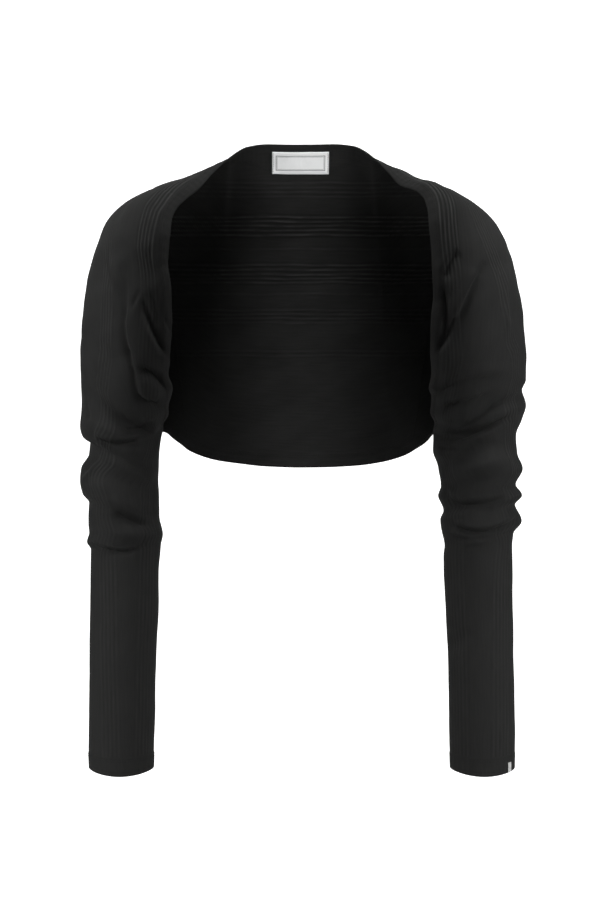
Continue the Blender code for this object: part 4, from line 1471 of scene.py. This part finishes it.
@dataclass
class Cloth:
    """What every cut piece shares: the surface, its thicknesses and its raised lines."""

    surface: Surface
    wall: float = 1.4
    edge_wall: float = 2.2
    neck_band: float = 30.0
    shoulder_band: float = 13.0
    hem_band: float = 15.0
    cuff_hem: float = 17.0
    rib_pitch: float = 4.4
    rib_width: float = 0.95
    rib_height: float = 0.62
    groove: float = 0.35
    ribs_in_group: int = 5
    half_group: float = 13.0
    knit_width: float = 300.0
    seam_dip: float = 0.45
    seam_width: float = 1.6
    tuck: float = 0.4
    fold_radius: float = 1.3
    seam_slope: float = 1.5
    seam_share: float = 0.8
    band_end: float = 0.8
    mean_strength: float = 0.8
    # The height and the rate or length of each wave in the raised lines' strength and course.
    strength_waves: Tuple[Tuple[float, float], ...] = ((0.12, 2.1), (0.08, 5.3))
    stray_waves: Tuple[Tuple[float, float], ...] = ((0.38, 19.0), (0.22, 7.3))

    def band_depth(self, station: Array) -> Array:
        """The depth of the neck and front bands: deepest at the middle of the neck."""
        deep = fade(NECK_POINT - np.abs(station), 0.0, NECK_POINT - self.band_end)
        return self.shoulder_band + (self.neck_band - self.shoulder_band) * deep

    def cuff_station(self) -> float:
        """The station of the seam above the cuff's hem."""
        height = OUTER_HEIGHTS[-1] + self.cuff_hem
        return float(np.interp(height, OUTER_HEIGHTS[::-1], TUBE_STATIONS[::-1]))

    def ridges(self, off: Array) -> Array:
        """The height of one raised line, by the distance from its middle, with a groove beside it.

        Args:
            off: Distances from its middle.

        Returns:
            The heights, where 1 is the full height.
        """
        ridge = np.exp(-((off / self.rib_width) ** 2))
        groove = np.exp(-(((np.abs(off) - 0.5 * self.rib_pitch) / self.rib_width) ** 2))
        return ridge - self.groove * groove

    def group(self, off: Array) -> Array:
        """The heights of a group of raised lines, by the distance from the group's middle."""
        middle = 0.5 * (self.ribs_in_group - 1)
        return sum(self.ridges(off - (k - middle) * self.rib_pitch) for k in range(self.ribs_in_group))

    def wander(self, station: Array, seed: float) -> Array:
        """A strength that comes and goes along the cloth, from about 0.6 to 1.

        Args:
            station: The stations.
            seed: Where its waves begin.

        Returns:
            The strength at each station.
        """
        waves = enumerate(self.strength_waves, start=1)
        strays = (high * np.sin(rate * station + k * seed) for k, (high, rate) in waves)
        return sum(strays, start=self.mean_strength)

    def waver(self, station: Array, seed: float) -> Array:
        """How far a raised line strays to one side along its run.

        Args:
            station: The stations.
            seed: Where its waves begin.

        Returns:
            The distance that it strays at each station.
        """
        run = self.surface.run(station)
        waves = enumerate(self.stray_waves, start=1)
        return sum(high * np.sin(run / long + k * seed) for k, (high, long) in waves)

    def turned(self, off: Array, depth: Union[float, Array]) -> Array:
        """The thickness of a turned edge, by the distance from its fold and its depth.

        Args:
            off: Distances from the fold.
            depth: The edge's depth, from its fold to its seam.

        Returns:
            The thickness at each distance.
        """
        at_seam = np.clip((depth - off) / self.seam_slope, 0.0, 1.0)
        thinner = self.seam_share + (1.0 - self.seam_share) * at_seam
        return self.edge_wall * folded(off, self.fold_radius) * thinner

    def seam_sink(self, off: Array) -> Array:
        """How far the cloth sinks beside a seam, by the distance from it."""
        return self.seam_dip * np.exp(-((off / self.seam_width) ** 2))

    def shell(
        self,
        name: str,
        station: Array,
        across: Array,
        rib: Array,
        thick: Union[float, Array],
        sink: Union[float, Array] = 0.0,
        cells: Optional[Array] = None,
    ) -> Shell:
        """A wall on the surface.

        Args:
            name: The piece's name.
            station: Its rows' stations.
            across: Its columns' places at each row.
            rib: The height of its raised lines, where 1 is a full one.
            thick: Its thickness.
            sink: How far it lies in from the surface.
            cells: Which of its cells exist.

        Returns:
            The wall, not yet built.
        """
        points, normals = self.surface.at(station[:, None], across)
        points = points - normals * np.broadcast_to(sink, across.shape)[..., None]
        half = 0.5 * np.broadcast_to(thick, across.shape) + self.rib_height * rib
        knit = flat_place(across * self.knit_width, self.surface.run(station)[:, None])
        outer = points + normals * half[..., None]
        inner = points - normals * half[..., None]
        return Shell(name, outer, inner, knit, rib, cells)


@dataclass
class Back:
    """The back panel, from the neck band to the hem band and between the two back seams."""

    cloth: Cloth
    rows: int = 112
    columns: int = 310
    group_starts: Tuple[float, float] = (3.2, 4.4)
    stray_seed: float = 0.9
    strength_seed: float = 1.7
    cut: Cut = Cut(width=0.400, length=0.380, held="hung", rests_on=("neck_band",), area=0.098)

    def ribs(self, station: Array, across: Array) -> Array:
        """The raised lines that run across the back and the group that follows the front edge.

        Args:
            station: The rows' stations.
            across: The columns' places at each row.

        Returns:
            The height of the lines at each point, where 1 is a full one.
        """
        cloth = self.cloth
        length = cloth.surface.length(station)[:, None]
        places = cloth.surface.at_heights(station, [line.z for line in BACK_RIB_LINES])
        rib = np.zeros(across.shape)
        for index, line in enumerate(BACK_RIB_LINES):
            off = (across - places[:, index : index + 1]) * length
            off = off + cloth.waver(station, self.stray_seed * index)[:, None]
            strength = line.strength * cloth.wander(station, self.strength_seed * index)
            rib += strength[:, None] * cloth.ridges(off)
        fronts = (read_table(FRONT_GROUP_RIGHT, station), read_table(FRONT_GROUP_LEFT, station))
        front = np.where(station[:, None] < 0.0, *fronts)
        shown = fade(np.abs(station), *self.group_starts)[:, None]
        return rib + shown * cloth.group((across - front) * length)

    def build(self, workshop: Workshop) -> bpy.types.Object:
        """Build and dress the panel.

        Args:
            workshop: The finishes.

        Returns:
            The panel.
        """
        cloth = self.cloth
        station = np.linspace(-BACK_SEAM, BACK_SEAM, self.rows + 1)
        length = cloth.surface.length(station)
        first = (cloth.band_depth(station) - cloth.tuck) / length
        last = 1.0 - (cloth.hem_band - cloth.tuck) / length
        across = between([first, last], [self.columns])
        rib = self.ribs(station, across)
        to_run = cloth.surface.run(np.array([1.0])) - cloth.surface.run(np.array([0.0]))
        sink = cloth.seam_sink((BACK_SEAM - np.abs(station)) * to_run)[:, None]
        piece = cloth.shell("back", station, across, rib, cloth.wall, sink).build(workshop.knit)
        return place_piece(piece, "back_panel", self.cut)


@dataclass
class Sleeve:
    """One sleeve, cut in one with its front: a tube from the underarm down."""

    cloth: Cloth
    side: SleeveSide
    open_rows: int = 96
    folded_rows: int = 122
    plain_rows: int = 46
    edge_columns: int = 5
    columns: Tuple[int, ...] = (2, 28, 42, 28, 24, 26, 20)
    least_gap: float = 0.004
    seam_run: float = 26.0
    # How strong the groups of raised lines are, and the stations over which that changes.
    front_weak: float = 0.2
    front_end: Tuple[float, float] = (9.0, 1.6)
    outer_strength: float = 0.4
    outer_calmer: float = 0.18
    outer_stations: Tuple[float, float] = (7.0, 12.0)
    rear_strength: float = 0.9
    seeds: Tuple[float, float, float] = (0.3, 1.9, 4.1)
    cut: Cut = Cut(width=0.405, length=0.700, held="gathered", rests_on=("back_panel",), area=0.160)

    def stations(self) -> Array:
        """The rows' stations, from the back seam to the cuff.

        Returns:
            The stations, all above 0.
        """
        parts = (
            np.linspace(BACK_SEAM, UNDERARM, self.open_rows + 1),
            np.linspace(UNDERARM, FOLDS_END, self.folded_rows + 1)[1:],
            np.linspace(FOLDS_END, self.cloth.cuff_station(), self.plain_rows + 1)[1:],
        )
        return np.concatenate(parts)

    def groups(self, size: Array) -> Sequence[Tuple[Array, Array]]:
        """The middles of the groups of raised lines and their strengths, at each station.

        Args:
            size: Stations, all above 0.

        Returns:
            The middle and the strength of the front, the outer and the rear group.
        """
        cloth = self.cloth
        signed = self.side.value * size
        rear_start = cloth.surface.at_heights(np.array([BACK_SEAM]), [REAR_GROUP_HEIGHT])[0, 0]
        right = self.side is SleeveSide.RIGHT
        tables = (FRONT_GROUP_RIGHT, OUTER_GROUP_RIGHT) if right else (FRONT_GROUP_LEFT, OUTER_GROUP_LEFT)
        front, outer = (read_table(table, signed)[:, 0] for table in tables)
        rear = rear_start + (REAR_GROUP_SHARE - rear_start) * fade(size, BACK_SEAM, LEVEL)
        full, calm = self.outer_stations
        end, reach = self.front_end
        in_front = self.front_weak + (1.0 - self.front_weak) * fade(end - size, 0.0, reach)
        outside = self.outer_strength * fade(size, BACK_SEAM, full)
        outside = outside - self.outer_calmer * fade(size, calm, FOLDS_END)
        strengths = (in_front, outside, self.rear_strength)
        return [
            (middle, strength * cloth.wander(signed, seed))
            for middle, strength, seed in zip((front, outer, rear), strengths, self.seeds)
        ]

    def build(self, workshop: Workshop) -> bpy.types.Object:
        """Build and dress the sleeve.

        Args:
            workshop: The finishes.

        Returns:
            The sleeve.
        """
        cloth = self.cloth
        side = self.side.value
        size = self.stations()
        length = cloth.surface.length(side * size)
        first = (cloth.shoulder_band - cloth.tuck) / length
        last = 1.0 - (cloth.hem_band - cloth.tuck) / length
        zero = np.zeros_like(size)
        reach = cloth.half_group / length
        groups = self.groups(size)
        front, outer, rear = (middle for middle, _ in groups)
        front_start = np.maximum(front - reach, first + self.least_gap)
        anchors = [zero, first, front_start, front + reach, outer - reach, outer + reach]
        anchors += [rear - reach, rear + reach, last, zero + 1.0]
        across = between(anchors, [self.edge_columns, *self.columns, self.edge_columns])
        rib = sum(
            strength[:, None] * cloth.group((across - middle[:, None]) * length[:, None])
            for middle, strength in groups
        )
        closed = size >= UNDERARM - TINY
        cells = np.ones((len(size) - 1, across.shape[1] - 1), bool)
        open_row = ~(closed[:-1] & closed[1:])
        cells[open_row, : self.edge_columns] = False
        cells[open_row, -self.edge_columns :] = False
        sink = cloth.seam_sink((size - BACK_SEAM) * self.seam_run)[:, None]
        rows = (side * size, across, rib, sink, cells)
        stations, across, rib, sink, cells = (part[::side] for part in rows)
        name = "sleeve_" + self.side.name.lower()
        shell = cloth.shell(name + "_cloth", stations, across, rib, cloth.wall, sink, cells)
        return place_piece(shell.build(workshop.knit), name, self.cut)


@dataclass
class Band:
    """A turned and stitched edge: two layers, rounded at the fold and a little puckered."""

    cloth: Cloth
    node: str
    start: float
    end: float
    rows: int
    columns: int
    cut: Cut
    at_hem: bool = False
    pucker: float = 0.16
    pucker_length: float = 6.5
    pucker_stray: float = 1.3
    stray_length: float = 17.0
    crowding: float = 0.6

    def depth(self, station: Array) -> Array:
        """The band's depth at each station.

        Args:
            station: The stations.

        Returns:
            The depths.
        """
        if self.at_hem:
            return np.full_like(station, self.cloth.hem_band)
        return self.cloth.band_depth(station)

    def build(self, workshop: Workshop) -> bpy.types.Object:
        """Build and dress the band.

        Args:
            workshop: The finishes.

        Returns:
            The band.
        """
        cloth = self.cloth
        station = np.linspace(self.start, self.end, self.rows + 1)
        length = cloth.surface.length(station)
        depth = self.depth(station)
        even = np.linspace(0.0, 1.0, self.columns + 1)
        share = even + self.crowding * even * (1.0 - even) * (even - 1.0)
        off = depth[:, None] * share[None, :]
        run = cloth.surface.run(station)[:, None]
        thick = cloth.turned(off, depth[:, None])
        stray = self.pucker_stray * np.sin(run / self.stray_length)
        wave = np.sin(2.0 * math.pi * run / self.pucker_length + stray)
        stitched = np.sin(math.pi * np.clip(off / depth[:, None], 0.0, 1.0))
        sink = self.pucker * wave * stitched
        across = off / length[:, None]
        if self.at_hem:
            across, thick, sink = (1.0 - across)[:, ::-1], thick[:, ::-1], sink[:, ::-1]
        shell = cloth.shell(self.node + "_cloth", station, across, np.zeros(across.shape), thick, sink)
        return place_piece(shell.build(workshop.knit), self.node, self.cut)


@dataclass
class Cuff:
    """The turned hem at the end of one sleeve."""

    cloth: Cloth
    side: SleeveSide
    rows: int = 26
    columns: int = 180
    pucker: float = 0.14
    puckers: int = 33
    pucker_stray: float = 1.1
    stray_turns: float = 4.5

    def build(self, workshop: Workshop) -> bpy.types.Object:
        """Build and dress the cuff.

        Args:
            workshop: The finishes.

        Returns:
            The cuff.
        """
        cloth = self.cloth
        start = cloth.cuff_station()
        size = np.linspace(start, CUFF_END, self.rows + 1)
        from_end = (CUFF_END - size) / (CUFF_END - start) * cloth.cuff_hem
        across = np.broadcast_to(np.linspace(0.0, 1.0, self.columns + 1), (len(size), self.columns + 1))
        thick = np.broadcast_to(cloth.turned(from_end, cloth.cuff_hem)[:, None], across.shape)
        stray = self.pucker_stray * np.sin(2.0 * self.stray_turns * math.pi * across)
        wave = np.sin(2.0 * math.pi * self.puckers * across + stray)
        stitched = np.sin(math.pi * from_end / cloth.cuff_hem)[:, None]
        sink = self.pucker * wave * stitched
        side = self.side.value
        stations, across, thick, sink = (part[::side] for part in (side * size, across, thick, sink))
        name = "cuff_" + self.side.name.lower()
        sleeve = "sleeve_" + self.side.name.lower()
        cut = Cut(width=0.017, length=0.212, held="hung", rests_on=(sleeve,))
        shell = cloth.shell(name + "_cloth", stations, across, np.zeros(across.shape), thick, sink)
        return place_piece(shell.build(workshop.knit), name, cut)


@dataclass
class Stitches:
    """Rows of short thread stitches that lie on the cloth."""

    name: str
    material: bpy.types.Material
    pitch: float = 2.5
    share: float = 0.72
    radius: float = 0.17
    arch: float = 0.30
    sunk: float = 0.14
    end_share: float = 0.55
    sides: int = 6
    rings: int = 5

    def __post_init__(self) -> None:
        """Start with no stitches."""
        self.points: list = []
        self.faces: list = []

    def sew(self, path: Array, normals: Array) -> None:
        """Add a row of stitches.

        Args:
            path: Points on the cloth, close together.
            normals: The cloth's outward normals there.
        """
        gaps = np.linalg.norm(np.diff(path, axis=0), axis=1)
        run = np.concatenate([[0.0], np.cumsum(gaps)])
        count = int(run[-1] / self.pitch)
        turn = 2.0 * math.pi * np.arange(self.sides) / self.sides
        along_stitch = np.linspace(0.0, 1.0, self.rings)
        high = np.sin(math.pi * along_stitch)
        arch = high * self.arch - self.sunk
        narrow = self.end_share + (1.0 - self.end_share) * high
        for index in range(count):
            places = (index + 0.5 * (1 - self.share) + self.share * along_stitch) * self.pitch
            line = read_path(places, run, path)
            normal = read_path(places, run, normals)
            normal /= np.linalg.norm(normal, axis=1, keepdims=True)
            ahead = line[-1] - line[0]
            ahead /= np.linalg.norm(ahead)
            beside = np.cross(normal, ahead)
            beside /= np.linalg.norm(beside, axis=1, keepdims=True)
            line = line + normal * arch[:, None]
            around = normal[:, None] * np.cos(turn)[:, None] + beside[:, None] * np.sin(turn)[:, None]
            ring = line[:, None] + around * (self.radius * narrow)[:, None, None]
            first = len(self.points)
            self.points.extend((ring.reshape(-1, 3) * MM).tolist())
            for r in range(self.rings - 1):
                for s in range(self.sides):
                    a = first + r * self.sides + s
                    b = first + r * self.sides + (s + 1) % self.sides
                    self.faces.append((a, a + self.sides, b + self.sides, b))
            self.faces.append(tuple(first + s for s in range(self.sides)))
            end = first + (self.rings - 1) * self.sides
            self.faces.append(tuple(end + s for s in reversed(range(self.sides))))

    def build(self, slot: str) -> bpy.types.Object:
        """Make the stitches one object."""
        return place_piece(add_mesh(self.name, self.points, self.faces, self.material))


@dataclass
class Sewing:
    """The rows of stitches that hold the turned edges, on the outside and the inside."""

    cloth: Cloth
    twin_gap: float = 2.4
    from_seam: float = 1.7
    samples: int = 900
    edge_short: float = 0.1
    hem_short: float = 0.4

    def edge_rows(self, stitches: Stitches, start: float, end: float, at_hem: bool) -> None:
        """Sew along a front, neck or hem edge.

        Args:
            stitches: Takes the stitches.
            start: The first station.
            end: The last station.
            at_hem: Whether the edge is the hem.
        """
        cloth = self.cloth
        station = np.linspace(start, end, self.samples)
        length = cloth.surface.length(station)
        depth = np.full_like(station, cloth.hem_band) if at_hem else cloth.band_depth(station)
        for inset in (self.from_seam, self.from_seam + self.twin_gap):
            across = (depth - inset) / length
            across = 1.0 - across if at_hem else across
            points, normals = cloth.surface.at(station, across)
            for face in (1.0, -1.0):
                stitches.sew(points + face * normals * 0.5 * cloth.edge_wall, face * normals)

    def cuff_rows(self, stitches: Stitches, side: SleeveSide) -> None:
        """Sew round a cuff.

        Args:
            stitches: Takes the stitches.
            side: The sleeve.
        """
        cloth = self.cloth
        start = cloth.cuff_station()
        to_station = (CUFF_END - start) / cloth.cuff_hem
        across = np.linspace(0.0, 1.0, self.samples)
        for inset in (self.from_seam, self.from_seam + self.twin_gap):
            station = np.full_like(across, side.value * (start + inset * to_station))
            points, normals = cloth.surface.at(station, across)
            stitches.sew(points + normals * 0.5 * cloth.edge_wall, normals)

    def build(self, workshop: Workshop) -> None:
        """Sew every edge.

        Args:
            workshop: The finishes.
        """
        rows = (("edge_stitches", self.edge_short, False), ("hem_stitches", self.hem_short, True))
        for name, short, at_hem in rows:
            stitches = Stitches(name, workshop.thread)
            self.edge_rows(stitches, -UNDERARM + short, UNDERARM - short, at_hem)
            stitches.build("knit_edge")
        cuffs = Stitches("cuff_stitches", workshop.thread)
        for side in SleeveSide:
            self.cuff_rows(cuffs, side)
        cuffs.build("knit_edge")


@dataclass
class NeckLabel:
    """The label inside the neck band, with its short ends folded under."""

    cloth: Cloth
    width: float = 61.0
    drop: float = 24.0
    top: float = 8.0
    thick: float = 0.7
    fold: float = 2.6
    fold_thick: float = 1.5
    columns: int = 96
    rows: int = 40
    gap: float = 0.15
    # How far in from its ends and its sides it gets thinner, and to what share.
    soft_end: Tuple[float, float] = (0.5, 0.25)
    soft_side: Tuple[float, float] = (0.4, 0.3)
    curl: float = 0.35
    wave: float = 0.12
    wave_rates: Tuple[float, float] = (0.35, 0.3)
    wave_start: float = 0.7
    fold_slope: float = 0.35
    neck_steps: int = 240
    at_neck: float = 0.05
    sewn_at: float = 1.3
    stitch_pitch: float = 1.9
    stitch_radius: float = 0.14
    cut: Cut = Cut(width=0.061, length=0.024, held="laid", rests_on=("neck_band",))

    def build(self, workshop: Workshop) -> bpy.types.Object:
        """Build and dress the label and its end stitches.

        Args:
            workshop: The finishes.

        Returns:
            The label.
        """
        cloth = self.cloth
        x = np.linspace(-0.5, 0.5, self.columns + 1) * self.width
        neck = np.linspace(-0.5 * NECK_POINT, 0.5 * NECK_POINT, self.neck_steps + 1)
        neck_x = cloth.surface.at(neck, np.full(len(neck), self.at_neck))[0][:, 0]
        station = np.interp(x, neck_x, neck)
        from_end = 0.5 * self.width - np.abs(x)
        doubled = fade(self.fold - from_end, -self.fold_slope, self.fold_slope)
        thick = self.thick + (self.fold_thick - self.thick) * doubled
        soft = thinned(from_end, *self.soft_end)
        drops = np.linspace(0.0, self.drop, self.rows + 1)
        hemmed = thinned(np.minimum(drops, self.drop - drops), *self.soft_side)
        across = (self.top + drops)[None, :] / cloth.surface.length(station)[:, None]
        points, normals = cloth.surface.at(station[:, None], across)
        full = (thick * soft)[:, None] * hemmed[None, :]
        curl = self.curl * np.sin(math.pi * drops / self.drop)[None, :] * (1.0 - doubled)[:, None]
        across_rate, down_rate = self.wave_rates
        wave = self.wave * np.sin(across_rate * x)[:, None]
        wave = wave * np.sin(down_rate * drops + self.wave_start)[None, :]
        base = 0.5 * cloth.edge_wall + self.gap + curl + wave
        near = points - normals * base[..., None]
        far = points - normals * (base + full)[..., None]
        knit = flat_place((x + 0.5 * self.width)[:, None], drops[None, :])
        shell = Shell("label", near, far, knit, np.zeros(across.shape))
        piece = place_piece(shell.build(workshop.label), "neck_label", self.cut)
        stitches = Stitches("label_stitches", workshop.thread, self.stitch_pitch, radius=self.stitch_radius)
        inset = int(round(self.sewn_at / self.width * self.columns))
        for column in (inset, self.columns - inset):
            stitches.sew(far[column, 2:-2], -normals[column, 2:-2])
        stitches.build("label")
        return piece


@dataclass
class CuffTab:
    """The small tape folded over in the outer side of the wearer's left cuff."""

    cloth: Cloth
    width: float = 4.5
    length: float = 9.0
    thick: float = 1.1
    across: float = 0.386
    above_end: float = 1.0
    gap: float = 0.15
    fold_radius: float = 0.8
    soft_side: Tuple[float, float] = (0.35, 0.4)
    split: float = 0.10
    split_at: float = 1.2
    split_width: float = 0.5
    rows: int = 30
    columns: int = 12

    def build(self, workshop: Workshop) -> bpy.types.Object:
        """Build and dress the tab.

        Args:
            workshop: The finishes.

        Returns:
            The tab.
        """
        cloth = self.cloth
        end = OUTER_HEIGHTS[-1]
        heights = np.linspace(end + self.above_end + self.length, end + self.above_end, self.rows + 1)
        station = np.interp(heights, OUTER_HEIGHTS[::-1], TUBE_STATIONS[::-1])
        off = np.linspace(-0.5, 0.5, self.columns + 1) * self.width
        across = self.across + off[None, :] / cloth.surface.length(station)[:, None]
        points, normals = cloth.surface.at(station[:, None], across)
        down = np.linspace(0.0, self.length, self.rows + 1)
        edge = thinned(0.5 * self.width - np.abs(off), *self.soft_side)
        full = self.thick * folded(self.length - down, self.fold_radius)[:, None] * edge[None, :]
        split = self.split * np.exp(-(((down - self.split_at) / self.split_width) ** 2))[:, None]
        base = 0.5 * cloth.edge_wall + self.gap + 0.5 * self.thick - 0.5 * full
        outer = points + normals * (base + full - split)[..., None]
        inner = points + normals * base[..., None]
        knit = flat_place((off + 0.5 * self.width)[None, :], down[:, None])
        piece = Shell("tab", outer, inner, knit, np.zeros(across.shape)).build(workshop.tape)
        return place_piece(piece, "cuff_tab")


class Lamp(NamedTuple):
    """A soft light: its size across and up, and how wide its beam spreads in degrees."""

    name: str
    place: Tuple[float, float, float]
    aim: Tuple[float, float, float]
    size: Tuple[float, float]
    watts: float
    spread: float = 180.0


LAMPS = (
    Lamp("overhead", (0.0, -0.5, 2.2), (0.0, 0.0, -0.25), (0.8, 0.8), 53.0),
    Lamp("side_right", (-3.0, -0.8, 0.8), (0.0, 0.0, -0.25), (1.0, 1.0), 40.0),
    Lamp("side_left", (3.0, -0.8, 0.8), (0.0, 0.0, -0.25), (1.0, 1.0), 40.0),
    Lamp("strip_inside", (0.0, -2.4, 0.5), (0.0, 0.09, -0.16), (0.06, 0.45), 0.046, 3.8),
    Lamp("strip_neck", (0.0, -2.4, 0.3), (0.0, 0.08, 0.018), (0.10, 0.03), 0.0047, 2.0),
    Lamp("strip_right", (-0.80, -2.6, 0.2), (-0.196, 0.0, -0.35), (0.05, 0.95), 0.138, 3.0),
    Lamp("strip_left", (0.80, -2.6, 0.2), (0.196, 0.0, -0.35), (0.05, 0.95), 0.138, 3.0),
)


@dataclass
class Studio:
    """A pale floor, soft lights and the camera."""

    floor_z: float = -1.10
    front_y: float = -0.60
    reach: float = 6.0
    wall_y: float = 4.6
    bend: float = 1.6
    bend_steps: int = 24
    distance: float = 3.2
    height: float = -0.278
    framed: float = 0.945
    sensor: float = 36.0
    shift_x: float = -0.0005
    air: Colour = (0.94, 0.94, 0.93, 1.0)
    air_strength: float = 0.10

    def light(self, lamp: Lamp) -> None:
        """Add a soft light.

        Args:
            lamp: The light.
        """
        data = bpy.data.lights.new(lamp.name, "AREA")
        data.shape = "RECTANGLE"
        data.size, data.size_y = lamp.size
        data.energy = lamp.watts
        data.spread = math.radians(lamp.spread)
        thing = add_object(lamp.name, data)
        thing.location = lamp.place
        way = Vector(lamp.aim) - Vector(lamp.place)
        thing.rotation_euler = way.to_track_quat("-Z", "Y").to_euler()

    def backdrop(self) -> None:
        """Lay a wide floor that turns up into a wall behind the garment."""
        turn = np.linspace(0.0, 0.5 * math.pi, self.bend_steps + 1)
        bent = self.wall_y - self.bend * (1.0 - np.sin(turn))
        y = np.concatenate([[self.front_y], bent, [self.wall_y]])
        z = np.concatenate([[0.0], self.bend * (1.0 - np.cos(turn)), [self.reach]])
        points = [(side * self.reach, a, b) for side in (-1.0, 1.0) for a, b in zip(y, z)]
        count = len(y)
        faces = [(k, k + 1, k + 1 + count, k + count) for k in range(count - 1)]
        backdrop = add_mesh("backdrop", points, faces, BackdropFinish().build())
        backdrop.location.z = self.floor_z

    def build(self) -> None:
        """Set up the whole studio."""
        scene = bpy.context.scene
        world = bpy.data.worlds.new("studio")
        world.use_nodes = True
        air = world.node_tree.nodes["Background"]
        air.inputs["Color"].default_value = self.air
        air.inputs["Strength"].default_value = self.air_strength
        scene.world = world
        scene.view_settings.view_transform = "Standard"
        # Picked by their power, the narrow lights would take nearly all the rays from the wide ones.
        scene.cycles.use_light_tree = False
        for lamp in LAMPS:
            self.light(lamp)
        self.backdrop()
        data = bpy.data.cameras.new("camera")
        data.sensor_width = self.sensor
        data.lens = self.sensor * self.distance / self.framed
        camera = add_object("camera", data)
        camera.location = (self.shift_x, -self.distance, self.height)
        camera.rotation_euler = (math.radians(90.0), 0.0, 0.0)
        scene.camera = camera


def main() -> None:
    """Build every piece in order and report it."""
    logging.basicConfig(level=logging.INFO, format="%(name)s %(message)s")
    workshop = Workshop()
    cloth = Cloth(Surface())
    LOG.info("surface worked out")
    Back(cloth).build(workshop)
    for side in SleeveSide:
        Sleeve(cloth, side).build(workshop)
    neck = Cut(width=0.030, length=0.183, held="hung", area=0.0044)
    Band(cloth, "neck_band", -NECK_POINT, NECK_POINT, rows=110, columns=26, cut=neck).build(workshop)
    front = Cut(width=0.013, length=0.413, held="hung", rests_on=("neck_band",))
    for name, start in (("front_band_right", -UNDERARM), ("front_band_left", NECK_POINT)):
        end = start + UNDERARM - NECK_POINT
        Band(cloth, name, start, end, rows=190, columns=16, cut=front).build(workshop)
    hem = Cut(width=0.015, length=0.361, held="hung", rests_on=("back_panel",))
    Band(cloth, "hem_band", -UNDERARM, UNDERARM, rows=300, columns=16, cut=hem, at_hem=True).build(workshop)
    for side in SleeveSide:
        Cuff(cloth, side).build(workshop)
    Sewing(cloth).build(workshop)
    NeckLabel(cloth).build(workshop)
    CuffTab(cloth).build(workshop)
    Studio().build()


if __name__ == "__main__":
    main()
